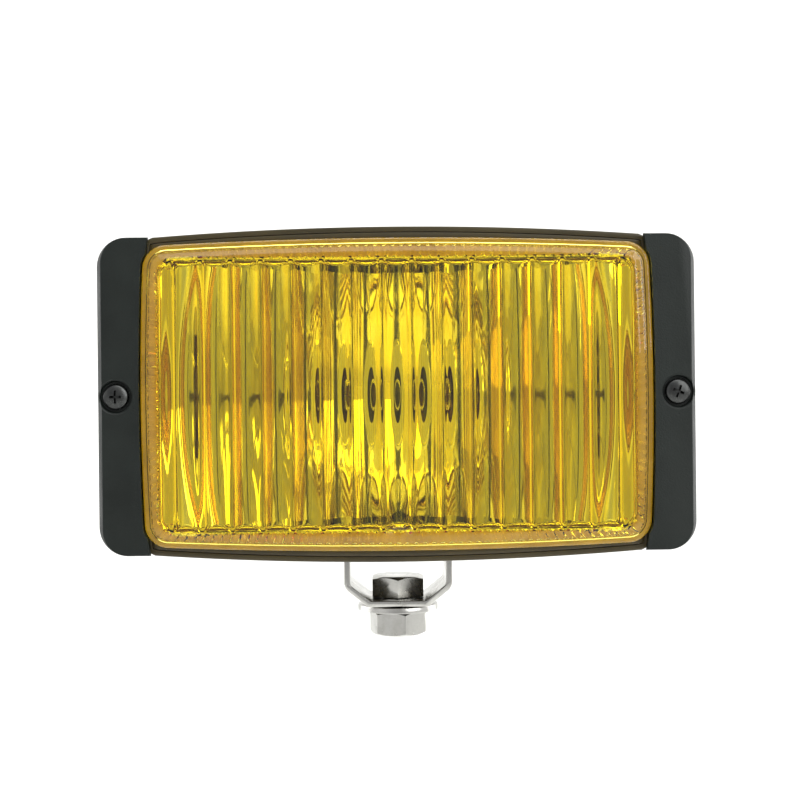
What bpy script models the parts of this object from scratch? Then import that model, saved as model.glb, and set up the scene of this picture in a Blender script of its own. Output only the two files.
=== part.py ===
"""Rectangular fog light on a U bracket, modelled as an assembly of separate pieces.

The origin is on the underside of the bracket's foot, on the axis of the mounting bolt. +Z is up and the lens
faces -Y. The bracket swivels about the mounting bolt, and the lamp tilts about the cross bolt above it.
"""

import math

import bmesh
import bpy
from mathutils import Matrix, Vector

MM = 0.001
GAP = 0.3 * MM  # clearance between pieces that touch

# Driving dimensions of the lamp, measured from its centre line at mid-height
CENTRE_Z = 69.7 * MM  # height of the lamp's centre above the underside of the foot
HALF_WIDTH = 91.5 * MM  # over the end caps
LENS_HALF_W, LENS_HALF_H = 77.1 * MM, 45.8 * MM
LENS_CROWN_W, LENS_CROWN_H = 1.2 * MM, 2.0 * MM  # how far the sides and the top and bottom edges bow out
LENS_RADIUS = 6.5 * MM
LENS_FRONT_Y, LENS_EDGE_Y, LENS_BACK_Y = -47.5 * MM, -46.0 * MM, -42.5 * MM
LIP_HALF_W, LIP_HALF_H = 77.4 * MM, 48.6 * MM
LIP_CROWN_H = 3.0 * MM
LIP_RADIUS = 2.5 * MM
LIP_Y = -42.2 * MM
LIP_WALL = 1.7 * MM
SHOULDER_Y = -31.0 * MM  # where the deep front rim steps in to the tub
REAR_Y = 20.5 * MM
HOUSING_WALL = 2.2 * MM

# Reflector
FOCAL_LENGTH = 24.0 * MM
VERTEX_Y = 11.0 * MM
BOWL_HALF_W, BOWL_HALF_H = 71.5 * MM, 40.2 * MM
BOWL_RADIUS = 5.0 * MM
REFLECTOR_WALL = 1.2 * MM
FLANGE_Y = -40.4 * MM
SOCKET_Y = 4.8 * MM  # front of the flat round the bulb
SOCKET_R = 17.0 * MM
BULB_HOLE_R = 9.5 * MM

# End caps and their screws
CAP_HALF_H = 48.65 * MM
CAP_RADIUS = 9.0 * MM
CAP_WALL = 2.2 * MM
CAP_INNER_X = 75.8 * MM  # inner edge of a cap above and below the lens
CAP_FRONT_Y, CAP_PLATE, CAP_BACK_Y = -46.4 * MM, 3.0 * MM, -30.5 * MM
SCREW_X = 85.8 * MM
SCREW_R, SCREW_HEAD_R, SCREW_HEAD_H = 1.9 * MM, 3.9 * MM, 2.2 * MM
COUNTERBORE_R, COUNTERBORE_Y = 4.85 * MM, -44.2 * MM
BOSS_R, BOSS_FRONT_Y = 3.4 * MM, -41.1 * MM
SIDE_FLANGE_Y, SIDE_FLANGE_WALL = -34.4 * MM, 2.4 * MM  # housing plate that closes each cap from behind
INSERT_R, INSERT_BORE_R = 2.55 * MM, 2.1 * MM

# Tilt pivot
PIVOT_Z = 19.9 * MM
PIVOT_R = 3.0 * MM
BUSH_R, BUSH_BORE_R = 4.0 * MM, 3.2 * MM
LUG_R, LUG_HALF_W = 5.4 * MM, 15.3 * MM
PIVOT_FLATS = 10.0 * MM

# Bracket strap and mounting hardware
STRAP = 2.0 * MM
STRAP_HALF_Y = 13.0 * MM
ARM_X = 17.8 * MM  # outer face of each arm
FOOT_X = 9.5 * MM  # where the flat foot ends and the slope starts
SLOPE_TOP_Z = 6.8 * MM
ARM_END_R = 6.0 * MM
TAPER_Z = 15.0 * MM  # below this the arms have the strap's full width
BEND_R = 3.0 * MM
MOUNT_R = 4.9 * MM
MOUNT_FLATS = 17.0 * MM
BOLT_HEAD_H = 6.8 * MM
MOUNT_NUT_H = 8.0 * MM
WASHER_R, WASHER_H = 13.5 * MM, 2.0 * MM

# Bulb
BULB_FLANGE_R, BULB_NECK_R, BULB_TAIL_R = 11.0 * MM, 6.4 * MM, 4.0 * MM
BULB_GLASS_R, BULB_GLASS_WALL = 5.2 * MM, 0.8 * MM
BULB_TIP_Y = -19.5 * MM
FILAMENT_Y = -12.0 * MM
LEAD_R = 1.2 * MM

ROUND = 32  # facets on bolts, holes and the bulb
CORNER_STEPS = 4
LONG_STEPS = 10
SHORT_STEPS = 6
BOWL_STEPS = 6
TUB_STEPS = 9


def clear_scene():
    for old in list(bpy.data.objects):
        bpy.data.objects.remove(old, do_unlink=True)


def finish(name, colour, roughness, metallic=0.0):
    """Material of one piece."""
    made = bpy.data.materials.new(name)
    made.use_nodes = True
    shader = made.node_tree.nodes["Principled BSDF"]
    shader.inputs["Base Color"].default_value = (*colour, 1.0)
    shader.inputs["Roughness"].default_value = roughness
    shader.inputs["Metallic"].default_value = metallic
    made.diffuse_color = (*colour, 1.0)
    return made


def empty(name, location, parent=None):
    made = bpy.data.objects.new(name, None)
    made.location = location
    made.parent = parent
    bpy.context.collection.objects.link(made)
    return made


def piece(name, shape, parent=None, location=(0, 0, 0), rotation=(0, 0, 0), material=None):
    """Turn a bmesh into a named object at its place."""
    bmesh.ops.recalc_face_normals(shape, faces=shape.faces[:])
    mesh = bpy.data.meshes.new(name)
    shape.to_mesh(mesh)
    shape.free()
    mesh.shade_smooth()
    mesh.set_sharp_from_angle(angle=math.radians(35))
    made = bpy.data.objects.new(name, mesh)
    made.location = location
    made.rotation_euler = rotation
    made.parent = parent
    if material is not None:
        mesh.materials.append(material)
    bpy.context.collection.objects.link(made)
    return made


def combine(target, operation, tool_name, shape, location=(0, 0, 0), rotation=(0, 0, 0)):
    """Boolean with a hidden tool that keeps the target's own parent and place."""
    tool = piece(tool_name, shape, target, location, rotation)
    tool.hide_render = True
    tool.display_type = "WIRE"
    cut = target.modifiers.new(tool_name, "BOOLEAN")
    cut.operation = operation
    cut.solver = "EXACT"
    cut.object = tool
    return tool


def skin(loops, ring=False):
    """Closed surface through loops of equal point counts, front or top loop first, each anticlockwise."""
    shape = bmesh.new()
    rows = [[shape.verts.new(point) for point in loop] for loop in loops]
    pairs = list(zip(rows, rows[1:]))
    if ring:
        pairs.append((rows[-1], rows[0]))
    else:
        shape.faces.new(rows[0])
        shape.faces.new(reversed(rows[-1]))
    for front, back in pairs:
        for here in range(len(front)):
            after = (here + 1) % len(front)
            shape.faces.new((front[here], back[here], back[after], front[after]))
    return shape


def circle(radius, z, count=ROUND, turn=0.0):
    """Points about +Z."""
    angles = [turn + math.tau * i / count for i in range(count)]
    return [Vector((radius * math.cos(angle), radius * math.sin(angle), z)) for angle in angles]


def turned(steps, count=ROUND):
    """Solid of revolution about +Z from (radius, z) steps, top first."""
    return skin([circle(radius, z, count) for radius, z in steps])


def tube(outer, inner, top, bottom, count=ROUND):
    """Straight ring about +Z."""
    corners = ((outer, top), (outer, bottom), (inner, bottom), (inner, top))
    return skin([circle(radius, z, count) for radius, z in corners], ring=True)


def hexagon(flats, top, bottom, turn=0.0):
    corner = flats / math.sqrt(3.0)
    return skin([circle(corner, z, 6, turn) for z in (top, bottom)])


def box(low, high):
    shape = bmesh.new()
    bmesh.ops.create_cube(shape, size=1.0)
    size = Vector(high) - Vector(low)
    middle = (Vector(high) + Vector(low)) / 2
    place = Matrix.Translation(middle) @ Matrix.Diagonal((*size, 1.0))
    bmesh.ops.transform(shape, matrix=place, verts=shape.verts)
    return shape


def prism(points, along, low, high):
    """Extrude a flat outline of (a, b) points along one axis; a and b are the other two axes in order."""
    axis = "XYZ".index(along)

    def place(point, distance):
        values = list(point)
        values.insert(axis, distance)
        return Vector(values)

    return skin([[place(point, distance) for point in points] for distance in (low, high)])


def outline(half_w, half_h, radius, crown_w=0.0, crown_h=0.0):
    """Rounded rectangle of (x, z) points with bowed sides, anticlockwise from the front, right side first."""
    straight_w, straight_h = half_w - radius, half_h - radius
    corners = ((straight_w, straight_h), (-straight_w, straight_h), (-straight_w, -straight_h),
               (straight_w, -straight_h))
    points = []
    for quarter, (x, z) in enumerate(corners):
        for step in range(CORNER_STEPS + 1):
            angle = math.radians(90 * (quarter + step / CORNER_STEPS))
            points.append((x + radius * math.cos(angle), z + radius * math.sin(angle)))
        start = points[-1]
        next_x, next_z = corners[(quarter + 1) % 4]
        angle = math.radians(90 * (quarter + 1))
        end = (next_x + radius * math.cos(angle), next_z + radius * math.sin(angle))
        steps = LONG_STEPS if quarter % 2 == 0 else SHORT_STEPS
        for step in range(1, steps):
            part = step / steps
            points.append((start[0] + (end[0] - start[0]) * part, start[1] + (end[1] - start[1]) * part))
    return [
        (x * (1 + crown_w / half_w * (1 - (z / half_h) ** 2)), z * (1 + crown_h / half_h * (1 - (x / half_w) ** 2)))
        for x, z in points
    ]


def at_depth(points, y):
    """Loop of (x, z) points at one depth."""
    return [Vector((x, y, z)) for x, z in points]


def fillet_path(corners, radius, steps=4):
    """Centre line of a bent strap as (point, normal) pairs; the normal points to the path's left."""
    pairs = []
    first = (corners[1] - corners[0]).normalized()
    pairs.append((corners[0], Vector((-first.y, first.x))))
    for before, corner, after in zip(corners, corners[1:], corners[2:]):
        inward = (corner - before).normalized()
        outward = (after - corner).normalized()
        bend = inward.angle_signed(outward)  # positive is clockwise
        reach = radius * math.tan(abs(bend) / 2)
        side = -math.copysign(1.0, bend)
        normal = Vector((-inward.y, inward.x))
        centre = corner - inward * reach + normal * radius * side
        for step in range(steps + 1):
            turn = Matrix.Rotation(-bend * step / steps, 2)
            now = turn @ normal
            pairs.append((centre - now * radius * side, now))
    last = (corners[-1] - corners[-2]).normalized()
    pairs.append((corners[-1], Vector((-last.y, last.x))))
    return pairs


def wire(name, points, radius, parent, material):
    """Round wire or lead along a smooth run of points."""
    curve = bpy.data.curves.new(name, "CURVE")
    curve.dimensions = "3D"
    curve.bevel_depth = radius
    curve.bevel_resolution = 2
    curve.use_fill_caps = True
    spline = curve.splines.new("POLY")
    spline.points.add(len(points) - 1)
    for slot, point in zip(spline.points, points):
        slot.co = (*point, 1.0)
    curve.materials.append(material)
    made = bpy.data.objects.new(name, curve)
    made.parent = parent
    bpy.context.collection.objects.link(made)
    return made


# Mounting hardware -------------------------------------------------------------------------------------------

def make_mount(zinc):
    """Washer and nut that hold the foot to the vehicle; the nut is turned a little from square."""
    washer_top = -GAP
    nut_top = washer_top - WASHER_H - GAP
    piece("mount_washer", tube(WASHER_R, MOUNT_R + GAP, washer_top, washer_top - WASHER_H), material=zinc)
    turn = math.radians(-16)
    nut = piece("mount_nut", hexagon(MOUNT_FLATS, nut_top, nut_top - MOUNT_NUT_H, turn), material=zinc)
    bore = turned(((MOUNT_R + GAP, nut_top + MM), (MOUNT_R + GAP, nut_top - MOUNT_NUT_H - MM)))
    combine(nut, "DIFFERENCE", "mount_nut_bore", bore)


def make_mount_bolt(parent, zinc):
    """Hex bolt whose flats lie along the strap's slopes, so that a corner faces the front."""
    under_head = STRAP + GAP
    end = -(WASHER_H + MOUNT_NUT_H + GAP)
    head = hexagon(MOUNT_FLATS, under_head + BOLT_HEAD_H, under_head, math.radians(30))
    bolt = piece("mount_bolt", head, parent, material=zinc)
    shank = turned(((MOUNT_R, under_head + MM), (MOUNT_R, end + MM), (MOUNT_R - MM, end)))
    combine(bolt, "UNION", "mount_bolt_shank", shank)


# Bracket -----------------------------------------------------------------------------------------------------

def make_bracket(parent, zinc):
    """U strap: flat foot, two slopes and two upright arms that taper to round ends at the pivot."""
    half = STRAP / 2
    arm = ARM_X - half
    top = PIVOT_Z + ARM_END_R + MM
    centre_line = [Vector(corner) for corner in (
        (-arm, top), (-arm, SLOPE_TOP_Z), (-FOOT_X, half), (FOOT_X, half), (arm, SLOPE_TOP_Z), (arm, top))]
    path = fillet_path(centre_line, BEND_R)
    section = [point + normal * half for point, normal in path]
    section += [point - normal * half for point, normal in reversed(path)]
    strap = piece("bracket", prism(section, "Y", -STRAP_HALF_Y, STRAP_HALF_Y), parent, material=zinc)

    side = [(STRAP_HALF_Y + MM, -MM), (STRAP_HALF_Y + MM, TAPER_Z)]
    side = [(-y, z) for y, z in reversed(side)] + side
    for step in range(13):
        angle = math.radians(15 * step)
        side.append((ARM_END_R * math.cos(angle), PIVOT_Z + ARM_END_R * math.sin(angle)))
    combine(strap, "INTERSECT", "bracket_side_shape", prism(side, "X", -2 * ARM_X, 2 * ARM_X))
    foot_hole = turned(((MOUNT_R + GAP, 2 * STRAP), (MOUNT_R + GAP, -STRAP)))
    combine(strap, "DIFFERENCE", "bracket_foot_hole", foot_hole)
    pivot_hole = turned(((PIVOT_R + GAP, 2 * ARM_X), (PIVOT_R + GAP, -2 * ARM_X)))
    combine(strap, "DIFFERENCE", "bracket_pivot_hole", pivot_hole, (0, 0, PIVOT_Z), (0, math.radians(90), 0))


def make_pivot_hardware(parent, zinc):
    """Cross bolt along +X with its head on the right, two washers and a nut on the left."""
    washer_h = 1.2 * MM
    head_h, nut_h = 4.0 * MM, 5.0 * MM
    under_head = ARM_X + GAP + washer_h + GAP
    across = {"parent": parent, "location": (0, 0, PIVOT_Z), "rotation": (0, math.radians(90), 0), "material": zinc}
    bolt = piece("pivot_bolt", hexagon(PIVOT_FLATS, under_head + head_h, under_head), **across)
    shank = turned(((PIVOT_R, under_head + MM), (PIVOT_R, -under_head - nut_h - MM)))
    combine(bolt, "UNION", "pivot_bolt_shank", shank)
    washer = (5.5 * MM, PIVOT_R + GAP)
    piece("pivot_washer_right", tube(*washer, ARM_X + GAP + washer_h, ARM_X + GAP), **across)
    piece("pivot_washer_left", tube(*washer, -ARM_X - GAP, -ARM_X - GAP - washer_h), **across)
    nut = piece("pivot_nut", hexagon(PIVOT_FLATS, -under_head, -under_head - nut_h), **across)
    bore = turned(((PIVOT_R + GAP / 2, 0), (PIVOT_R + GAP / 2, -2 * under_head)))
    combine(nut, "DIFFERENCE", "pivot_nut_bore", bore)


# Housing -----------------------------------------------------------------------------------------------------

def tub_size(y):
    """Half width and half height of the tub, which follows the reflector's curve."""
    half_w = math.sqrt(4 * FOCAL_LENGTH * (REAR_Y + 4.5 * MM - y))
    half_h = 0.85 * math.sqrt(4 * FOCAL_LENGTH * (REAR_Y + 3.5 * MM - y))
    return min(half_w, 74.0 * MM), min(half_h, 45.2 * MM)


def housing_loop(y, wall):
    """Section of the housing at one depth, moved in by the wall's thickness."""
    if y < SHOULDER_Y:
        return outline(LIP_HALF_W - wall, LIP_HALF_H - wall, LIP_RADIUS - wall, 0.0, LIP_CROWN_H)
    half_w, half_h = tub_size(y)
    depth = (y - SHOULDER_Y) / (REAR_Y - SHOULDER_Y)
    corner = min(8.0 * MM + 22.0 * MM * depth, 0.8 * half_h)
    return outline(half_w - wall, half_h - wall, corner - wall, 0.0, 2.0 * MM * (1 - depth) ** 3)


def handed(points, side):
    """Outline on the right, or its mirror image on the left, with the same turning direction."""
    return [(side * x, z) for x, z in points][::side]


def cap_inside(inner_x, clearance):
    """Space inside the right cap's walls, from inner_x outwards, less a clearance."""
    corner = CAP_RADIUS - CAP_WALL - clearance
    outer_x, half_h = HALF_WIDTH - CAP_WALL - clearance, CAP_HALF_H - CAP_WALL - clearance
    points = [(inner_x, -half_h)]
    for turn, z in ((-90, corner - half_h), (0, half_h - corner)):
        for step in range(5):
            angle = math.radians(turn + 22.5 * step)
            points.append((outer_x - corner + corner * math.cos(angle), z + corner * math.sin(angle)))
    return points + [(inner_x, half_h)]


def make_housing(lamp, plastic):
    """Tub with a lip round the lens unit, a lug for the pivot and a boss behind each cap screw."""
    depths = [SHOULDER_Y + (REAR_Y - 2 * MM - SHOULDER_Y) * step / TUB_STEPS for step in range(TUB_STEPS + 1)]
    inner = [at_depth(housing_loop(y, HOUSING_WALL), y) for y in depths]
    inner[-1] = at_depth(housing_loop(REAR_Y - 4 * MM, HOUSING_WALL), REAR_Y - HOUSING_WALL)
    inner.insert(0, at_depth(housing_loop(LIP_Y, LIP_WALL), SHOULDER_Y - HOUSING_WALL))
    inner.insert(0, at_depth(housing_loop(LIP_Y, LIP_WALL), LIP_Y))
    outer = [at_depth(housing_loop(LIP_Y, 0.0), y) for y in (LIP_Y, SHOULDER_Y - MM)]
    outer += [at_depth(housing_loop(y, 0.0), y) for y in depths]
    outer.append(at_depth(housing_loop(REAR_Y, 0.0), REAR_Y))
    housing = piece("housing", skin(list(reversed(inner)) + outer), lamp, material=plastic)

    pivot = (0, 0, PIVOT_Z - CENTRE_Z)
    across = (0, math.radians(90), 0)
    combine(housing, "UNION", "lug_round", turned(((LUG_R, LUG_HALF_W), (LUG_R, -LUG_HALF_W))), pivot, across)
    half = LUG_R - 0.4 * MM
    web = [(half, pivot[2])] + [(y, MM - tub_size(y)[1]) for y in (half, 0, -half)] + [(-half, pivot[2])]
    combine(housing, "UNION", "lug_web", prism(web, "X", -LUG_HALF_W, LUG_HALF_W))
    bush_hole = turned(((BUSH_R + GAP, 2 * LUG_HALF_W), (BUSH_R + GAP, -2 * LUG_HALF_W)))
    combine(housing, "DIFFERENCE", "lug_bore", bush_hole, pivot, across)

    along_y = (math.radians(90), 0, 0)
    flange_back = SIDE_FLANGE_Y + SIDE_FLANGE_WALL
    boss_length = flange_back - BOSS_FRONT_Y
    for side, hand in ((-1, "left"), (1, "right")):
        x = side * SCREW_X
        flange = prism(handed(cap_inside(LIP_HALF_W - MM, GAP), side), "Y", SIDE_FLANGE_Y, flange_back)
        combine(housing, "UNION", f"side_flange_{hand}", flange)
        combine(housing, "UNION", f"boss_{hand}", turned(((BOSS_R, 0), (BOSS_R, -boss_length))),
                (x, BOSS_FRONT_Y, 0), along_y)
        socket = turned(((INSERT_R + 0.25 * MM, MM), (INSERT_R + 0.25 * MM, MM - boss_length)))
        combine(housing, "DIFFERENCE", f"boss_bore_{hand}", socket, (x, BOSS_FRONT_Y, 0), along_y)
        insert = tube(INSERT_R, INSERT_BORE_R, -0.1 * MM, -6.5 * MM)
        piece(f"insert_nut_{hand}", insert, lamp, (x, BOSS_FRONT_Y, 0), along_y,
              finish("brass", (0.62, 0.44, 0.16), 0.35, 1.0))
    bush = tube(BUSH_R, BUSH_BORE_R, LUG_HALF_W, -LUG_HALF_W)
    piece("pivot_bush", bush, lamp, pivot, across, finish("bush_steel", (0.55, 0.55, 0.55), 0.4, 1.0))
    return housing


def make_rear_fittings(lamp, housing, rubber):
    """Grommet for the supply cable and a breather cap, each plugged into the rear wall."""
    backwards = (math.radians(-90), 0, 0)
    for name, x, head_r, neck_r, head_h, bore_r in (
        ("cable_grommet", -9.5 * MM, 5.5 * MM, 4.0 * MM, 4.0 * MM, 2.4 * MM),
        ("breather_cap", 9.5 * MM, 4.0 * MM, 2.6 * MM, 3.0 * MM, None),
    ):
        place = (x, REAR_Y, -4.0 * MM)
        hole = turned(((neck_r + GAP, 5 * MM), (neck_r + GAP, -5 * MM)))
        combine(housing, "DIFFERENCE", f"{name}_hole", hole, place, backwards)
        inside = -HOUSING_WALL - GAP
        steps = (
            (head_r - MM, GAP + head_h), (head_r, GAP + head_h / 2), (head_r, GAP), (neck_r, GAP),
            (neck_r, inside), (neck_r + MM, inside), (neck_r + MM / 2, inside - 1.2 * MM),
        )
        fitting = piece(name, turned(steps), lamp, place, backwards, rubber)
        if bore_r:
            combine(fitting, "DIFFERENCE", f"{name}_bore", turned(((bore_r, 9 * MM), (bore_r, -9 * MM))))


# Lens unit ---------------------------------------------------------------------------------------------------

def lens_outline(grow):
    """Edge of the lens, moved outwards."""
    return outline(LENS_HALF_W + grow, LENS_HALF_H + grow, LENS_RADIUS + grow, LENS_CROWN_W, LENS_CROWN_H)


def make_lens(lamp):
    """Glass plate with a shallow domed front, a rounded edge and a recess behind the fluted field."""
    yellow = finish("yellow_glass", (0.8, 0.55, 0.02), 0.08)
    field = outline(BOWL_HALF_W, BOWL_HALF_H, BOWL_RADIUS)
    small_field = outline(0.6 * BOWL_HALF_W, 0.6 * BOWL_HALF_H, BOWL_RADIUS)
    loops = (
        at_depth(small_field, LENS_FRONT_Y),
        at_depth(field, LENS_FRONT_Y + 0.5 * MM),
        at_depth(lens_outline(-1.5 * MM), LENS_FRONT_Y + MM),
        at_depth(lens_outline(0.0), LENS_EDGE_Y),
        at_depth(lens_outline(0.0), LENS_BACK_Y),
        at_depth(field, LENS_BACK_Y),
        at_depth(outline(BOWL_HALF_W - MM, BOWL_HALF_H - MM, BOWL_RADIUS), LENS_BACK_Y - 0.5 * MM),
    )
    piece("lens", skin(loops), lamp, material=yellow)


def make_seals(lamp, rubber):
    """Bead between lens and reflector, and the gasket between their unit and the housing's lip."""
    bead_front, bead_back = LENS_BACK_Y + GAP, FLANGE_Y - GAP
    bead_outer = outline(BOWL_HALF_W + 1.7 * MM, BOWL_HALF_H + 4.0 * MM, BOWL_RADIUS + 1.7 * MM)
    bead_inner = outline(BOWL_HALF_W + 0.3 * MM, BOWL_HALF_H + 0.3 * MM, BOWL_RADIUS + 0.3 * MM)
    bead = skin([at_depth(bead_outer, bead_front), at_depth(bead_outer, bead_back),
                 at_depth(bead_inner, bead_back), at_depth(bead_inner, bead_front)], ring=True)
    piece("lens_seal", bead, lamp, material=finish("sealant", (0.06, 0.05, 0.03), 0.5))
    outer = outline(LIP_HALF_W - LIP_WALL - GAP, LIP_HALF_H - LIP_WALL - GAP, 2.4 * MM, 0.0, 2.9 * MM)
    inner = outline(LIP_HALF_W - 3.7 * MM, LIP_HALF_H - 2.9 * MM, 1.2 * MM, 0.0, 2.7 * MM)
    gasket_back = FLANGE_Y + 1.8 * MM
    gasket = skin([at_depth(outer, bead_front), at_depth(outer, gasket_back),
                   at_depth(inner, gasket_back), at_depth(inner, bead_front)], ring=True)
    piece("rim_gasket", gasket, lamp, material=rubber)


def bowl_depth(x, z):
    """Depth of the mirror surface, a paraboloid that stops at the front flange."""
    return max(VERTEX_Y - (x * x + z * z) / (4 * FOCAL_LENGTH), FLANGE_Y + 0.8 * MM)


def make_reflector(lamp):
    """Bowl with flat walls above and below, a flange in front and a round flat step for the bulb."""
    rim = outline(BOWL_HALF_W, BOWL_HALF_H, BOWL_RADIUS)
    rim_back = outline(BOWL_HALF_W + REFLECTOR_WALL, BOWL_HALF_H + REFLECTOR_WALL, BOWL_RADIUS + REFLECTOR_WALL)
    flange = outline(BOWL_HALF_W + 1.9 * MM, LIP_HALF_H - 3.2 * MM, BOWL_RADIUS - 2.0 * MM, 0.0, 2.6 * MM)
    bearing = [Vector(point).normalized() for point in rim]
    wall = REFLECTOR_WALL

    def ring(radius, y):
        return at_depth([direction * radius for direction in bearing], y)

    def bowl(step, back):
        part = step / BOWL_STEPS
        points = []
        for direction, edge in zip(bearing, rim):
            x, z = direction * (SOCKET_R + 0.4 * MM) * (1 - part) + Vector(edge) * part
            slope = math.hypot(x, z) / (2 * FOCAL_LENGTH)
            points.append(Vector((x, bowl_depth(x, z) + (wall * math.hypot(1, slope) if back else 0.0), z)))
        return points

    front = [ring(BULB_HOLE_R, SOCKET_Y), ring(SOCKET_R, SOCKET_Y)]
    front += [bowl(step, False) for step in range(BOWL_STEPS + 1)]
    front += [at_depth(rim, FLANGE_Y), at_depth(flange, FLANGE_Y)]
    back = [ring(BULB_HOLE_R, SOCKET_Y + wall), ring(SOCKET_R - wall, SOCKET_Y + wall),
            ring(SOCKET_R - 0.7 * MM, VERTEX_Y - 2.7 * MM)]
    back += [bowl(step, True) for step in range(BOWL_STEPS)]
    edge = [Vector((x, point.y, z)) for (x, z), point in zip(rim_back, bowl(BOWL_STEPS, True))]
    back += [edge, at_depth(rim_back, FLANGE_Y + wall), at_depth(flange, FLANGE_Y + wall)]
    shape = skin(list(reversed(front)) + back, ring=True)
    piece("reflector", shape, lamp, material=finish("mirror_aluminium", (0.8, 0.8, 0.8), 0.08, 1.0))


def make_end_caps(lamp):
    """Black cap on each side: a front plate that follows the lens, with walls that wrap round the housing."""
    black = finish("textured_plastic", (0.03, 0.035, 0.032), 0.6)
    edge = [(x, z) for x, z in lens_outline(0.45 * MM) if x > CAP_INNER_X]
    edge.sort(key=lambda point: point[1])
    plate = [(CAP_INNER_X, -CAP_HALF_H)]
    for turn, z in ((-90, -CAP_HALF_H + CAP_RADIUS), (0, CAP_HALF_H - CAP_RADIUS)):
        for step in range(7):
            angle = math.radians(turn + 15 * step)
            centre_x = HALF_WIDTH - CAP_RADIUS
            plate.append((centre_x + CAP_RADIUS * math.cos(angle), z + CAP_RADIUS * math.sin(angle)))
    plate.append((CAP_INNER_X, CAP_HALF_H))
    plate += list(reversed(edge))

    plate_back = CAP_FRONT_Y + CAP_PLATE
    wall_x = LIP_HALF_W + 0.4 * MM
    hollow = [(wall_x / 2, -2 * CAP_HALF_H), (wall_x, -2 * CAP_HALF_H)] + cap_inside(wall_x, 0.0)
    hollow += [(wall_x, 2 * CAP_HALF_H), (wall_x / 2, 2 * CAP_HALF_H)]

    steel = finish("black_screw", (0.12, 0.12, 0.12), 0.35, 1.0)
    along_y = (math.radians(90), 0, 0)
    for side, hand in ((-1, "left"), (1, "right")):
        body = prism(handed(plate, side), "Y", CAP_FRONT_Y, CAP_BACK_Y)
        cap = piece(f"end_cap_{hand}", body, lamp, material=black)
        hollow_shape = prism(handed(hollow, side), "Y", plate_back, CAP_BACK_Y + MM)
        combine(cap, "DIFFERENCE", f"cap_hollow_{hand}", hollow_shape)
        seat = turned(((COUNTERBORE_R + 0.6 * MM, 0), (COUNTERBORE_R + 0.6 * MM, -3.4 * MM)))
        x = side * SCREW_X
        combine(cap, "UNION", f"cap_seat_{hand}", seat, (x, plate_back - 1.5 * MM, 0), along_y)
        counterbore = turned(((COUNTERBORE_R, 5 * MM), (COUNTERBORE_R, 0)))
        combine(cap, "DIFFERENCE", f"cap_counterbore_{hand}", counterbore, (x, COUNTERBORE_Y, 0), along_y)
        hole = turned(((SCREW_R + GAP, 5 * MM), (SCREW_R + GAP, -9 * MM)))
        combine(cap, "DIFFERENCE", f"cap_hole_{hand}", hole, (x, COUNTERBORE_Y, 0), along_y)

        steps = (
            (0.45 * SCREW_HEAD_R, SCREW_HEAD_H), (0.85 * SCREW_HEAD_R, 0.75 * SCREW_HEAD_H),
            (SCREW_HEAD_R, 0.3 * SCREW_HEAD_H), (SCREW_HEAD_R, 0), (SCREW_R, 0), (SCREW_R, -9.5 * MM),
        )
        turn = math.radians(22 if side > 0 else 0)
        screw = piece(f"cap_screw_{hand}", turned(steps, 24), lamp, (x, COUNTERBORE_Y - GAP, 0),
                      (math.radians(90), turn, 0), steel)
        long, wide, deep = 2.1 * MM, 0.45 * MM, 1.3 * MM
        cross = [(long, -wide), (long, wide), (wide, wide), (wide, long), (-wide, long), (-wide, wide),
                 (-long, wide), (-long, -wide), (-wide, -wide), (-wide, -long), (wide, -long), (wide, -wide)]
        recess = prism(cross, "Z", SCREW_HEAD_H - deep, SCREW_HEAD_H + MM)
        combine(screw, "DIFFERENCE", f"cap_screw_cross_{hand}", recess)


# Bulb --------------------------------------------------------------------------------------------------------

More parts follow.
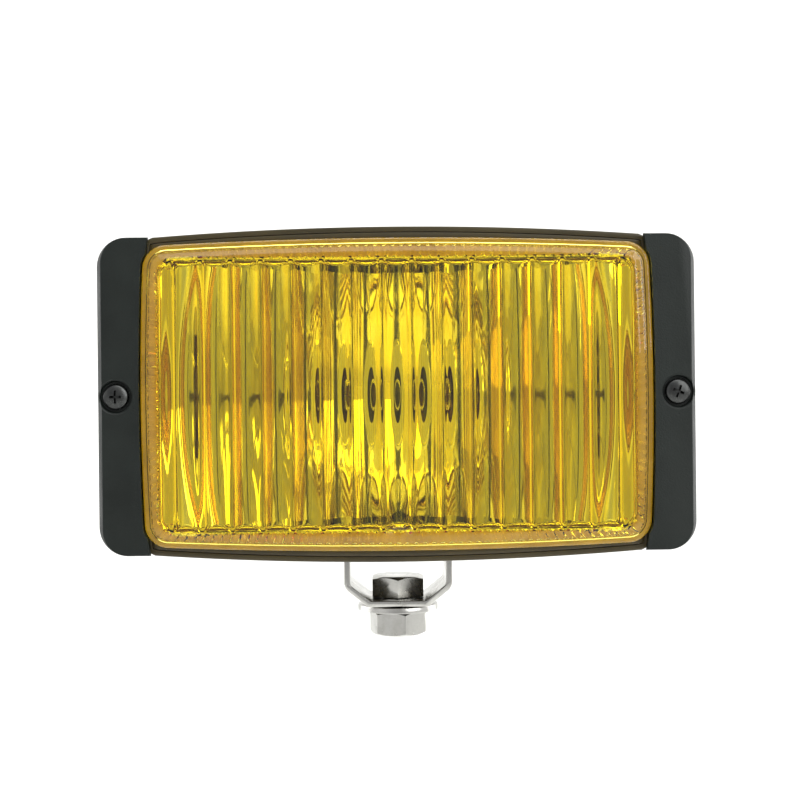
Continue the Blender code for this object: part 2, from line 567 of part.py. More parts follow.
def make_bulb(lamp, rubber):
    """Bulb with its holder ring, wire clip and short lead."""
    steel = finish("bulb_steel", (0.6, 0.6, 0.6), 0.35, 1.0)
    forwards = (math.radians(90), 0, 0)  # local +Z points to the front
    seat = SOCKET_Y + REFLECTOR_WALL + GAP
    flange_h, tail_h = 1.2 * MM, 2.5 * MM
    base = (
        (BULB_NECK_R, 3.3 * MM), (BULB_NECK_R, 0), (BULB_FLANGE_R, 0), (BULB_FLANGE_R, -flange_h),
        (BULB_TAIL_R, -flange_h), (BULB_TAIL_R, -flange_h - tail_h),
    )
    blackened = finish("blackened_steel", (0.05, 0.05, 0.04), 0.5, 1.0)
    piece("bulb_base", turned(base), lamp, (0, seat, 0), forwards, blackened)

    holder_r, holder_bore = 14.8 * MM, BULB_FLANGE_R + 0.4 * MM
    holder = piece("bulb_holder", tube(holder_r, holder_bore, 0, -flange_h), lamp, (0, seat, 0), forwards, steel)
    catch_h = flange_h + 2.2 * MM
    for name, low, high in (
        ("holder_hook_left", (-10.6, 8.8), (-9.0, 10.4)),
        ("holder_hook_right", (9.0, 8.8), (10.6, 10.4)),
        ("holder_catch", (-2.5, -14.6), (2.5, -13.4)),
    ):
        block = box((low[0] * MM, low[1] * MM, -catch_h), (high[0] * MM, high[1] * MM, -flange_h / 2))
        combine(holder, "UNION", name, block)

    clip_y = seat + flange_h + 0.9 * MM
    half = [(8.0, 12.2), (7.5, 10.6), (7.0, 8.4), (6.4, 5.6), (6.2, 2.4), (6.2, -2.4), (6.0, -6.0), (5.2, -9.0),
            (3.8, -11.2), (1.4, -12.4)]
    run = [(-x, z) for x, z in half] + list(reversed(half))
    wire("bulb_clip", [(x * MM, clip_y, z * MM) for x, z in run], 0.55 * MM, lamp,
         finish("spring_wire", (0.5, 0.5, 0.5), 0.3, 1.0))

    glass_top, glass_end = -BULB_TIP_Y, -(seat - 3.6 * MM)
    inner_r = BULB_GLASS_R - BULB_GLASS_WALL
    dome = [(math.sin(math.radians(a)), math.cos(math.radians(a))) for a in (20, 45, 70, 90)]
    outer = [(BULB_GLASS_R * s, glass_top - BULB_GLASS_R * (1 - c)) for s, c in dome]
    outer.append((BULB_GLASS_R, glass_end))
    inner = [(inner_r * s, glass_top - BULB_GLASS_WALL - inner_r * (1 - c)) for s, c in dome]
    inner.append((inner_r, glass_end))
    glass = turned(outer + list(reversed(inner)), 24)
    piece("bulb_glass", glass, lamp, (0, 0, 0), forwards, finish("bulb_quartz", (0.9, 0.9, 0.9), 0.05))
    post, end = 2.2 * MM, seat - 3.6 * MM
    loop = [(-post, end, 0), (-post, FILAMENT_Y + MM, 0), (-post + 0.5 * MM, FILAMENT_Y, 0),
            (post - 0.5 * MM, FILAMENT_Y, 0), (post, FILAMENT_Y + MM, 0), (post, end, 0)]
    wire("bulb_filament", loop, 0.35 * MM, lamp, finish("tungsten", (0.3, 0.3, 0.3), 0.4, 1.0))

    tail = seat + flange_h + tail_h + GAP
    run = [(0, tail, 0), (0, tail + 1.2 * MM, 0), (0, tail + 2.4 * MM, 2.6 * MM),
           (0.8 * MM, tail + 3.0 * MM, 7.0 * MM), (3.0 * MM, tail + 3.0 * MM, 10.6 * MM),
           (7.0 * MM, tail + 3.0 * MM, 11.8 * MM), (10.6 * MM, tail + 3.0 * MM, 9.6 * MM),
           (12.0 * MM, tail + 3.0 * MM, 5.6 * MM), (12.0 * MM, tail + 3.0 * MM, 2.0 * MM)]
    wire("bulb_lead", run, LEAD_R, lamp, rubber)
    terminal = box((8.0 * MM, tail + 0.9 * MM, -11.0 * MM), (16.0 * MM, tail + 5.1 * MM, 2.0 * MM - GAP))
    piece("lead_terminal", terminal, lamp, material=finish("terminal_nylon", (0.7, 0.7, 0.66), 0.5))


def main():
    clear_scene()
    zinc = finish("zinc_plate", (0.62, 0.62, 0.6), 0.3, 1.0)
    rubber = finish("black_rubber", (0.03, 0.03, 0.025), 0.7)
    plastic = finish("housing_plastic", (0.05, 0.05, 0.04), 0.45)
    swivel_axis = empty("swivel_axis", (0, 0, 0))
    tilt_axis = empty("tilt_axis", (0, 0, PIVOT_Z), swivel_axis)
    lamp = empty("lamp_centre", (0, 0, CENTRE_Z - PIVOT_Z), tilt_axis)
    make_mount(zinc)
    make_bracket(swivel_axis, zinc)
    make_mount_bolt(swivel_axis, zinc)
    make_pivot_hardware(swivel_axis, zinc)
    housing = make_housing(lamp, plastic)
    make_rear_fittings(lamp, housing, rubber)
    make_reflector(lamp)
    make_seals(lamp, rubber)
    make_lens(lamp)
    make_end_caps(lamp)
    make_bulb(lamp, rubber)


main()
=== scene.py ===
"""Finished looks of a rectangular fog light.

Fluted yellow lens, black end caps, tub, reflector, bulb and zinc U bracket.
"""

import logging
import math
from dataclasses import dataclass, replace
from enum import Enum
from typing import Iterable, Sequence

import bmesh
import bpy
from mathutils import Matrix, Vector


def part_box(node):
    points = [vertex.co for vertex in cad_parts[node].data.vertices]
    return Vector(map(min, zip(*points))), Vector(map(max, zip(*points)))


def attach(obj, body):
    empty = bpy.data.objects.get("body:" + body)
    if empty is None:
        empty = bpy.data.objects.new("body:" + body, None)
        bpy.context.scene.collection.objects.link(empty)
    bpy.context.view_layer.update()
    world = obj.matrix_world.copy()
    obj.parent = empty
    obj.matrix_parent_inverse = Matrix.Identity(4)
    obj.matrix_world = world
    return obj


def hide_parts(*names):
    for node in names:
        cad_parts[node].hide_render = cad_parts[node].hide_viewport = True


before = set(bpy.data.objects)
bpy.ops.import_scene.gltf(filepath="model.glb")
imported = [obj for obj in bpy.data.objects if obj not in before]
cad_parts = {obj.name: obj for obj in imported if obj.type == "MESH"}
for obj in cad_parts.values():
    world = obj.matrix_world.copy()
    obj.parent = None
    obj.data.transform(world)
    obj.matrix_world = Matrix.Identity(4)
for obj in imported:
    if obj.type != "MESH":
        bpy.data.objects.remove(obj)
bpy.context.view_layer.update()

MM = 0.001
Colour = tuple[float, float, float, float]
LOG = logging.getLogger("fog_light")
PATCH_LOW, PATCH_HIGH = 0.35, 0.65  # part of a noise's range over which the patches change
MIX_COLOUR_SOCKETS, MIX_COLOUR_RESULT = (0, 6, 7), 2  # factor, A, B and result of a Mix node set to colour
THROUGH = 9 * MM  # reach of a drill that clears any wall of the lamp


class Body(Enum):
    """Moving group that a piece rides on."""

    MOUNT = "mount"
    BRACKET = "bracket"
    LAMP = "lamp"


class Side(Enum):
    """Side of the lamp, seen from the front."""

    LEFT = -1
    RIGHT = 1

    @property
    def label(self) -> str:
        """Word used in the names of pieces and CAD nodes."""
        return self.name.lower()


# Finishes ------------------------------------------------------------------------------------------

def linear(code: str) -> Colour:
    """Turn an sRGB hex colour into linear light.

    Args:
        code: Colour such as "#c9c8c3".

    Returns:
        Red, green, blue and an alpha of 1.
    """
    parts = [int(code[i:i + 2], 16) / 255 for i in (1, 3, 5)]
    red, green, blue = (p / 12.92 if p <= 0.04045 else ((p + 0.055) / 1.055) ** 2.4 for p in parts)
    return red, green, blue, 1.0


def add_node(tree: bpy.types.NodeTree, kind: str, settings: dict | None = None,
             links: dict | None = None) -> bpy.types.Node:
    """Add one node to a material.

    Args:
        tree: Node tree of the material.
        kind: Node type.
        settings: Values of its sockets, or of its own properties, by name.
        links: Output sockets of other nodes, by the name of the input that they feed.

    Returns:
        The new node.
    """
    made = tree.nodes.new(kind)
    for name, value in (settings or {}).items():
        if name in made.inputs:
            made.inputs[name].default_value = value
        else:
            setattr(made, name, value)
    for name, source in (links or {}).items():
        tree.links.new(source, made.inputs[name])
    return made


@dataclass(frozen=True)
class Finish:
    """Opaque surface with a fine grain and soft patches of tone and gloss.

    grain_mm and grain_depth_mm are the size and height of the surface's texture, and patch_mm is the size of
    its patches.
    """

    name: str
    slot: str
    colour: str
    second_colour: str
    roughness: float
    second_roughness: float
    metallic: float = 0.0
    specular: float = 0.5
    grain_mm: float = 0.5
    grain_depth_mm: float = 0.02
    patch_mm: float = 12.0

    def material(self) -> bpy.types.Material:
        """Give the material, made on first use.

        Returns:
            The Blender material of this finish.
        """
        made = bpy.data.materials.get(self.name)
        if made is None:
            made = bpy.data.materials.new(self.name)
            made.use_nodes = True
            made.diffuse_color = linear(self.colour)
            shader = made.node_tree.nodes["Principled BSDF"]
            shader.inputs["Metallic"].default_value = self.metallic
            shader.inputs["Roughness"].default_value = self.roughness
            shader.inputs["Specular IOR Level"].default_value = self.specular
            shader.inputs["Base Color"].default_value = linear(self.colour)
            self.pattern(made.node_tree, shader)
        return made

    def place(self, tree: bpy.types.NodeTree,
              stretch: tuple[float, float, float] = (1, 1, 1)) -> bpy.types.NodeSocket:
        """Coordinates of the piece, in metres, optionally stretched along an axis."""
        where = add_node(tree, "ShaderNodeTexCoord").outputs["Object"]
        return add_node(tree, "ShaderNodeMapping", {"Scale": stretch}, {"Vector": where}).outputs["Vector"]

    def noise(self, tree: bpy.types.NodeTree, where: bpy.types.NodeSocket, size_mm: float,
              detail: float = 2.0) -> bpy.types.NodeSocket:
        """Cloudy value from 0 to 1.

        Args:
            tree: Node tree of the material.
            where: Coordinates that the clouds follow.
            size_mm: Size of the clouds.
            detail: How many finer layers lie over them.

        Returns:
            Socket with the value.
        """
        settings = {"Scale": 1 / (size_mm * MM), "Detail": detail, "Roughness": 0.55}
        return add_node(tree, "ShaderNodeTexNoise", settings, {"Vector": where}).outputs["Fac"]

    def tone(self, tree: bpy.types.NodeTree, shader: bpy.types.Node, patch: bpy.types.NodeSocket) -> None:
        """Let patches shift the colour and the gloss between the two values of each.

        Args:
            tree: Node tree of the material.
            shader: Shader that they feed.
            patch: Cloudy value that says where the patches lie.
        """
        clouds = {"From Min": PATCH_LOW, "From Max": PATCH_HIGH}
        share = add_node(tree, "ShaderNodeMapRange", clouds, {"Value": patch}).outputs["Result"]
        mix = add_node(tree, "ShaderNodeMix", {"data_type": "RGBA"})
        factor, first, second = (mix.inputs[socket] for socket in MIX_COLOUR_SOCKETS)
        tree.links.new(share, factor)
        first.default_value = linear(self.colour)
        second.default_value = linear(self.second_colour)
        tree.links.new(mix.outputs[MIX_COLOUR_RESULT], shader.inputs["Base Color"])
        levels = {"To Min": self.roughness, "To Max": self.second_roughness, **clouds}
        gloss = add_node(tree, "ShaderNodeMapRange", levels, {"Value": patch}).outputs["Result"]
        tree.links.new(gloss, shader.inputs["Roughness"])

    def relief(self, tree: bpy.types.NodeTree, shader: bpy.types.Node, height: bpy.types.NodeSocket) -> None:
        """Raise the grain by its depth.

        Args:
            tree: Node tree of the material.
            shader: Shader that the bumps feed.
            height: Height of the grain, from 0 to 1.
        """
        settings = {"Strength": 1.0, "Distance": self.grain_depth_mm * MM}
        bump = add_node(tree, "ShaderNodeBump", settings, {"Height": height})
        tree.links.new(bump.outputs["Normal"], shader.inputs["Normal"])

    def pattern(self, tree: bpy.types.NodeTree, shader: bpy.types.Node) -> None:
        """Nodes behind the shader; each kind of surface adds its own.

        Args:
            tree: Node tree of the material.
            shader: Its shader.
        """
        where = self.place(tree)
        self.tone(tree, shader, self.noise(tree, where, self.patch_mm, 3.0))
        self.relief(tree, shader, self.noise(tree, where, self.grain_mm))


@dataclass(frozen=True)
class SparkTexture(Finish):
    """Moulded plastic from a spark-eroded tool: a pebbled skin of small bumps that breaks up highlights."""

    def pattern(self, tree: bpy.types.NodeTree, shader: bpy.types.Node) -> None:
        """Pebbles of two sizes over soft patches.

        Args:
            tree: Node tree of the material.
            shader: Its shader.
        """
        where = self.place(tree)
        self.tone(tree, shader, self.noise(tree, where, self.patch_mm, 4.0))
        settings = {"Scale": 1 / (self.grain_mm * MM), "feature": "SMOOTH_F1", "Smoothness": 0.6}
        pebbles = add_node(tree, "ShaderNodeTexVoronoi", settings, {"Vector": where}).outputs["Distance"]
        fine = self.noise(tree, where, 0.6 * self.grain_mm)
        both = add_node(tree, "ShaderNodeMath", {"operation": "SUBTRACT"})
        tree.links.new(fine, both.inputs[0])
        tree.links.new(pebbles, both.inputs[1])
        self.relief(tree, shader, both.outputs["Value"])


@dataclass(frozen=True)
class Plated(Finish):
    """Bright plating over rolled steel: cloudy reflections and faint lines along the rolling direction."""

    lines: tuple[float, float, float] = (1.0, 0.06, 1.0)

    def pattern(self, tree: bpy.types.NodeTree, shader: bpy.types.Node) -> None:
        """Drawn-out lines for the relief, soft clouds for the gloss.

        Args:
            tree: Node tree of the material.
            shader: Its shader.
        """
        where = self.place(tree)
        self.tone(tree, shader, self.noise(tree, where, self.patch_mm, 4.0))
        self.relief(tree, shader, self.noise(tree, self.place(tree, self.lines), self.grain_mm, 3.0))


@dataclass(frozen=True)
class PressedGlass(Finish):
    """Pressed glass: clear, deeper in colour where it is thick, with the slow waves that the mould leaves.

    absorbs is the colour that the light keeps in a thickness of 1 / density metres.
    """

    absorbs: str = "#ffffff"
    density: float = 0.0
    ior: float = 1.5

    def pattern(self, tree: bpy.types.NodeTree, shader: bpy.types.Node) -> None:
        """Clear shader, waves in the surface and constant absorption inside.

        Args:
            tree: Node tree of the material.
            shader: Its shader.
        """
        shader.inputs["Transmission Weight"].default_value = 1.0
        shader.inputs["IOR"].default_value = self.ior
        waves = self.noise(tree, self.place(tree, (1.0, 1.0, 0.35)), self.grain_mm, 1.0)
        self.relief(tree, shader, waves)
        if self.density:
            settings = {"Color": linear(self.absorbs), "Density": self.density}
            inside = add_node(tree, "ShaderNodeVolumeAbsorption", settings)
            tree.links.new(inside.outputs["Volume"], tree.nodes["Material Output"].inputs["Volume"])


class Finishes:
    """Every finish of the lamp, by the maker's name for it."""

    # Polyamide with a fine spark texture: dull charcoal, a little lighter where hands have rubbed it.
    CAP_PLASTIC = SparkTexture("cap_textured_polyamide", "cap_plastic", "#0a100d", "#111714", 0.46, 0.56,
                               specular=0.26, grain_mm=0.55, grain_depth_mm=0.05, patch_mm=22.0)
    # Smoother polyamide of the tub, near black with a soft sheen; its olive tint is a painted reflection of
    # the yellow lens beside it.
    HOUSING_PLASTIC = SparkTexture("housing_polyamide_painted_lens_tint", "housing_plastic", "#2f2812", "#3a3218",
                                   0.3, 0.4, specular=0.4, grain_mm=0.8, grain_depth_mm=0.02, patch_mm=30.0)
    # Clear-passivated zinc on strip and forged steel: pale grey mirror, slightly clouded.
    ZINC = Plated("bright_zinc_plate", "zinc_plate", "#bcbbb7", "#a8a7a2", 0.16, 0.3, 1.0,
                  grain_mm=0.9, grain_depth_mm=0.004, patch_mm=7.0)
    # Black-passivated screw steel: dark, with sharp small highlights on its rounded head.
    SCREW_STEEL = Plated("black_passivated_steel", "black_steel", "#4a4b4a", "#343535", 0.24, 0.38, 1.0,
                         grain_mm=0.4, grain_depth_mm=0.006, patch_mm=3.0, lines=(1.0, 1.0, 1.0))
    # Stamped steel inside the lamp: duller than the plated pieces.
    PLAIN_STEEL = Plated("stamped_steel", "plain_steel", "#a3a29c", "#8b8a84", 0.3, 0.45, 1.0,
                         grain_mm=0.5, grain_depth_mm=0.005, patch_mm=5.0)
    # Vacuum-coated aluminium under lacquer: a clean mirror with a trace of the pressing's waves.
    MIRROR = Finish("vacuum_aluminised_lacquer", "mirror_aluminium", "#efeeea", "#e6e4de", 0.03, 0.07, 1.0,
                    grain_mm=14.0, grain_depth_mm=0.05, patch_mm=25.0)
    # Soda-lime glass coloured right through: bright yellow in thin walls, deeper in the thick rim.
    YELLOW_GLASS = PressedGlass("yellow_pressed_glass", "yellow_glass", "#fffdf4", "#fffdf4", 0.0, 0.0,
                                grain_mm=9.0, grain_depth_mm=0.12, absorbs="#fef700", density=560.0)
    # Quartz of the bulb: water clear.
    QUARTZ = PressedGlass("bulb_quartz", "quartz", "#ffffff", "#ffffff", 0.0, 0.0,
                          grain_mm=4.0, grain_depth_mm=0.005, ior=1.46)
    # Cured bead of buff sealant: satin, slightly uneven, amber under the glass.
    SEALANT = Finish("cured_sealant", "sealant", "#d3b050", "#be9b3c", 0.45, 0.6,
                     grain_mm=1.6, grain_depth_mm=0.06, patch_mm=9.0)
    # Carbon-black rubber: matt, with a bloom that greys it in patches.
    RUBBER = Finish("moulded_rubber", "rubber", "#191917", "#24241f", 0.62, 0.78,
                    grain_mm=0.35, grain_depth_mm=0.015, patch_mm=8.0)
    # Gasket rubber: smoother than the grommet's, black with a soft shine next to the glass; its olive tint
    # is a painted reflection of the yellow lens.
    GASKET_RUBBER_PAINTED_TINT = Finish("gasket_rubber_painted_lens_tint", "rubber", "#3a3218", "#2f2812", 0.34, 0.44,
                           specular=0.4, grain_mm=1.2, grain_depth_mm=0.01, patch_mm=14.0)
    # Steel of the bulb's base, brownish black as painted shade: it stands in for the shade in the bulb's
    # hole, so that the hole reads as a dark spot.
    BULB_BASE_PAINTED_SHADE = Finish("bulb_base_painted_shade", "black_steel", "#1c1814", "#12100d", 0.45, 0.6, 0.6,
                       grain_mm=0.3, grain_depth_mm=0.01, patch_mm=5.0)
    # Turned brass: warm metal with fine lines round it.
    BRASS = Plated("turned_brass", "brass", "#c79a4b", "#b1863c", 0.22, 0.34, 1.0,
                   grain_mm=0.25, grain_depth_mm=0.004, patch_mm=3.0, lines=(0.1, 1.0, 0.1))
    # Black ceramic coat on the bulb's tip: it hides the filament from the front.
    TIP_COAT = Finish("black_ceramic_coat", "quartz", "#15120e", "#1d1914", 0.35, 0.5,
                      grain_mm=0.4, grain_depth_mm=0.004, patch_mm=3.0)
    # Uncoloured nylon of the terminal: milky and waxy.
    NYLON = Finish("natural_nylon", "nylon", "#d9d6c9", "#cbc7b6", 0.38, 0.5,
                   grain_mm=0.9, grain_depth_mm=0.01, patch_mm=6.0)
    # Drawn tungsten: dark grey wire.
    TUNGSTEN = Plated("drawn_tungsten", "plain_steel", "#6f6e6c", "#5d5c5a", 0.3, 0.4, 1.0,
                      grain_mm=0.2, grain_depth_mm=0.003, patch_mm=2.0)


# Modelling -----------------------------------------------------------------------------------------

@dataclass(frozen=True)
class Outline:
    """Rounded rectangle with gently bowed sides, as the lens, its seal, the reflector and the housing share.

    Sizes are half widths and heights at the corners, in metres; the crowns are how far each side bows out.
    """

    half_w: float
    half_h: float
    radius: float
    crown_w: float = 0.0
    crown_h: float = 0.0

    def grown(self, by: float, by_h: float | None = None) -> "Outline":
        """Outline moved outwards.

        Args:
            by: Distance outwards at the sides.
            by_h: Distance at the top and bottom, if it differs.

        Returns:
            The larger, or with negative distances smaller, outline.
        """
        by_h = by if by_h is None else by_h
        radius = max(self.radius + (by + by_h) / 2, 0.4 * MM)
        return replace(self, half_w=self.half_w + by, half_h=self.half_h + by_h, radius=radius)

    def at(self, u: float, v: float) -> tuple[float, float]:
        """Point of the outline's square map.

        Args:
            u: From -1 at the left side to 1 at the right.
            v: From -1 at the bottom to 1 at the top.

        Returns:
            x and z in metres, from the lamp's centre.
        """
        start_u, start_v = 1 - self.radius / self.half_w, 1 - self.radius / self.half_h
        x, z = abs(u) * self.half_w, abs(v) * self.half_h
        if abs(u) > start_u and abs(v) > start_v:
            p, q = (abs(u) - start_u) / (1 - start_u), (abs(v) - start_v) / (1 - start_v)
            reach = self.radius * max(p, q)
            angle = math.pi / 4 * (q / p if p >= q else 2 - p / q)
            x = self.half_w - self.radius + reach * math.cos(angle)
            z = self.half_h - self.radius + reach * math.sin(angle)
        bow_x = 1 + self.crown_w / self.half_w * (1 - (z / self.half_h) ** 2)
        bow_z = 1 + self.crown_h / self.half_h * (1 - (x / self.half_w) ** 2)
        return math.copysign(x * bow_x, u), math.copysign(z * bow_z, v)


def spread(count: int) -> list[float]:
    """Even steps from -1 to 1."""
    return [2 * i / (count - 1) - 1 for i in range(count)]


def square_loop(across: Sequence[float], up: Sequence[float]) -> list[tuple[float, float]]:
    """Walk round the edge of a square map, anticlockwise from its lower right corner.

    Args:
        across: Steps along the top and bottom, from -1 to 1.
        up: Steps along the sides, from -1 to 1.

    Returns:
        The (u, v) of each point on the edge.
    """
    right = [(1.0, v) for v in up[:-1]]
    top = [(u, 1.0) for u in reversed(across[1:])]
    left = [(-1.0, v) for v in reversed(up[1:])]
    bottom = [(u, -1.0) for u in across[:-1]]
    return right + top + left + bottom


class Bench:
    """Modelling steps that every sub-assembly uses, done with Blender's own operators."""

    @staticmethod
    def deselect() -> None:
        """Leave edit mode and select nothing."""
        if bpy.context.object and bpy.context.object.mode != "OBJECT":
            bpy.ops.object.mode_set(mode="OBJECT")
        bpy.ops.object.select_all(action="DESELECT")

    @staticmethod
    def pick(piece: bpy.types.Object) -> None:
        """Make one object the only one selected.

        Args:
            piece: The object.
        """
        Bench.deselect()
        piece.select_set(True)
        bpy.context.view_layer.objects.active = piece

    @staticmethod
    def named(name: str) -> bpy.types.Object:
        """Name the primitive that was just added.

        Args:
            name: Name of the object and of its mesh.

        Returns:
            The primitive.
        """
        piece = bpy.context.object
        piece.name = name
        piece.data.name = name
        return piece

    @staticmethod
    def apply(piece: bpy.types.Object, kind: str, **settings: object) -> None:
        """Add a modifier with its settings, and apply it.

        Args:
            piece: Object that it works on.
            kind: Modifier type.
            settings: Values of the modifier's properties.
        """
        Bench.pick(piece)
        modifier = piece.modifiers.new(kind.title(), kind)
        for name, value in settings.items():
            setattr(modifier, name, value)
        bpy.ops.object.modifier_apply(modifier=modifier.name)

    @staticmethod
    def boolean(piece: bpy.types.Object, tool: bpy.types.Object, operation: str) -> None:
        """Cut, join or intersect with a tool, which is used up.

        Args:
            piece: Object that is worked on.
            tool: Object that cuts it or joins it.
            operation: DIFFERENCE, UNION or INTERSECT.
        """
        Bench.apply(piece, "BOOLEAN", object=tool, operation=operation, solver="EXACT")
        bpy.data.objects.remove(tool, do_unlink=True)

    @staticmethod
    def bevel(piece: bpy.types.Object, width: float, segments: int = 3, angle: float = 40.0) -> None:
        """Round the sharp edges.

        Args:
            piece: Object that is worked on.
            width: Width of the rounding.
            segments: Facets across it.
            angle: Edges that turn by more than this are rounded, in degrees.
        """
        Bench.apply(piece, "BEVEL", width=width, segments=segments, limit_method="ANGLE",
                    angle_limit=math.radians(angle), use_clamp_overlap=True, harden_normals=False)

    @staticmethod
    def move(piece: bpy.types.Object, matrix: Matrix) -> None:
        """Place a piece by moving its mesh, so that the object itself stays at the origin.

        Args:
            piece: Object that is moved.
            matrix: Turn and shift.
        """
        Bench.pick(piece)
        piece.matrix_world = matrix @ piece.matrix_world
        bpy.ops.object.transform_apply(location=True, rotation=True, scale=True)

    @staticmethod
    def tidy(piece: bpy.types.Object) -> None:
        """Merge doubled points and face the surface outwards.

        Args:
            piece: Object that is cleaned.
        """
        Bench.pick(piece)
        bpy.ops.object.mode_set(mode="EDIT")
        bpy.ops.mesh.select_all(action="SELECT")
        bpy.ops.mesh.remove_doubles(threshold=0.001 * MM)
        bpy.ops.mesh.normals_make_consistent(inside=False)
        bpy.ops.object.mode_set(mode="OBJECT")

    @staticmethod
    def smooth(piece: bpy.types.Object, angle: float = 32.0) -> None:
        """Shade smooth, except over edges sharper than an angle in degrees."""
        Bench.pick(piece)
        bpy.ops.object.shade_smooth_by_angle(angle=math.radians(angle))

    @staticmethod
    def loft(name: str, sections: Sequence[Sequence[Vector]], start: bool = True, end: bool = True,
             ring: bool = False) -> bpy.types.Object:
        """Skin through sections: a circle is shaped as the first and extruded to each of the others.

        Args:
            name: Name of the object.
            sections: Loops with equal numbers of points.
            start: Whether a face closes the first section.
            end: Whether a face closes the last one.
            ring: Whether the last section joins up with the first instead.

        Returns:
            The new object.
        """
        Bench.deselect()
        count = len(sections[0])
        bpy.ops.mesh.primitive_circle_add(vertices=count, fill_type="NOTHING")
        piece = Bench.named(name)
        bpy.ops.object.mode_set(mode="EDIT")
        bpy.ops.mesh.select_mode(type="VERT")
        bpy.ops.mesh.select_all(action="SELECT")
        rows = [list(range(count))]
        mesh = bmesh.from_edit_mesh(piece.data)
        mesh.verts.ensure_lookup_table()
        for index, point in zip(rows[0], sections[0]):
            mesh.verts[index].co = point
        for section in sections[1:]:
            bpy.ops.mesh.extrude_region_move()
            mesh = bmesh.from_edit_mesh(piece.data)
            mesh.verts.ensure_lookup_table()
            mesh.verts.index_update()
            row = []
            for index, point in zip(rows[-1], section):
                old = mesh.verts[index]
                new = next(edge.other_vert(old) for edge in old.link_edges if edge.other_vert(old).select)
                new.co = point
                row.append(new.index)
            rows.append(row)
        closed = ((rows[0], start), (rows[-1], end))
        ends = [rows[0] + rows[-1]] if ring else [row for row, wanted in closed if wanted]
        for chosen in ends:
            bpy.ops.mesh.select_all(action="DESELECT")
            mesh = bmesh.from_edit_mesh(piece.data)
            mesh.verts.ensure_lookup_table()
            for index in chosen:
                mesh.verts[index].select = True
            mesh.select_flush(True)
            bmesh.update_edit_mesh(piece.data)
            if ring:
                bpy.ops.mesh.bridge_edge_loops()
            else:
                bpy.ops.mesh.edge_face_add()
        bpy.ops.object.mode_set(mode="OBJECT")
        Bench.tidy(piece)
        return piece

    @staticmethod
    def spin(name: str, profile: Sequence[tuple[float, float]], steps: int = 64,
             ring: bool = False) -> bpy.types.Object:
        """Turn a profile about the Z axis.

        Args:
            name: Name of the object.
            profile: (radius, height) of each corner, from the top down.
            steps: Number of facets round the axis.
            ring: Whether the profile closes on itself, as a washer's does.

        Returns:
            The new object, along Z at the origin.
        """
        Bench.deselect()
        bpy.ops.mesh.primitive_circle_add(vertices=max(len(profile), 3), fill_type="NOTHING")
        piece = Bench.named(name)
        bpy.ops.object.mode_set(mode="EDIT")
        mesh = bmesh.from_edit_mesh(piece.data)
        mesh.verts.ensure_lookup_table()
        for vertex, (radius, height) in zip(mesh.verts, profile):
            vertex.co = Vector((radius, 0.0, height))
        if not ring:
            first, last = mesh.verts[0], mesh.verts[len(profile) - 1]
            closing = next(edge for edge in first.link_edges if edge.other_vert(first) == last)
            bmesh.ops.delete(mesh, geom=[closing], context="EDGES")
        bmesh.update_edit_mesh(piece.data)
        bpy.ops.mesh.select_all(action="SELECT")
        bpy.ops.mesh.spin(steps=steps, angle=math.tau, center=(0, 0, 0), axis=(0, 0, 1))
        bpy.ops.object.mode_set(mode="OBJECT")
        Bench.tidy(piece)
        return piece

    @staticmethod
    def slab(name: str, outline: Sequence[Vector], along: Vector) -> bpy.types.Object:
        """Extrude a flat outline into a solid.

        Args:
            name: Name of the object.
            outline: Points of the outline.
            along: How far and in which direction it is extruded.

        Returns:
            The new object.
        """
        return Bench.loft(name, [list(outline), [point + along for point in outline]])

    @staticmethod
    def join(pieces: Sequence[bpy.types.Object], name: str) -> bpy.types.Object:
        """Join several objects into the first and merge their shared points.

        Args:
            pieces: Objects to join.
            name: Name of the result.

        Returns:
            The joined object.
        """
        Bench.deselect()
        for piece in pieces:
            piece.select_set(True)
        bpy.context.view_layer.objects.active = pieces[0]
        bpy.ops.object.join()
        Bench.named(name)
        Bench.tidy(pieces[0])
        return pieces[0]

    @staticmethod
    def dress(piece: bpy.types.Object, finish: Finish, body: Body, *nodes: str) -> None:
        """Give a piece its finish and body, and the CAD nodes that it stands for.

        Args:
            piece: Finished piece.
            finish: Its surface.
            body: Body that it moves with.
            nodes: Names of the CAD nodes that it replaces.
        """
        piece.data.materials.clear()
        piece.data.materials.append(finish.material())
        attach(piece, body.value)
        if nodes:
            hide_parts(*nodes)
        LOG.info("%s: %d faces, rides on %s", piece.name, len(piece.data.polygons), body.value)

    @staticmethod
    def dress_node(node: str, finish: Finish) -> None:
        """Give a CAD node that stays in view its finish.

        Args:
            node: Name of the node.
            finish: Its surface.
        """
        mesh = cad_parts[node].data
        mesh.materials.clear()
        mesh.materials.append(finish.material())
        LOG.info("%s: CAD node in %s", node, finish.name)


def middle(node: str) -> Vector:
    """Centre of a CAD node's box."""
    low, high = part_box(node)
    return (low + high) / 2


def loop_at(outline: Outline, steps: Sequence[tuple[float, float]], y: float,
            centre: Vector) -> list[Vector]:
    """Points of an outline at one depth, about the lamp's centre."""
    return [Vector((centre.x + x, y, centre.z + z)) for x, z in (outline.at(u, v) for u, v in steps)]


def arc(x: float, z: float, radius: float, start: int, end: int, step: int) -> list[tuple[float, float]]:
    """Points of a circular arc.

    Args:
        x: Centre of the circle.
        z: Centre of the circle.
        radius: Its radius.
        start: First angle in degrees.
        end: Last angle.
        step: Degrees from point to point.

    Returns:
        The points as pairs.
    """
    turns = [math.radians(a) for a in range(start, end + 1, step)]
    return [(x + radius * math.cos(turn), z + radius * math.sin(turn)) for turn in turns]


def drill(radius: float, reach: float = THROUGH, steps: int = 64) -> bpy.types.Object:
    """Cylinder along Z, both ways from the origin, that bores a hole."""
    return Bench.spin("drill", [(0, reach), (radius, reach), (radius, -reach), (0, -reach)], steps)


def quarter_turn(axis: str, sign: int = 1) -> Matrix:
    """Turn by a right angle about an axis."""
    return Matrix.Rotation(math.radians(90 * sign), 4, axis)


# Lens unit -----------------------------------------------------------------------------------------

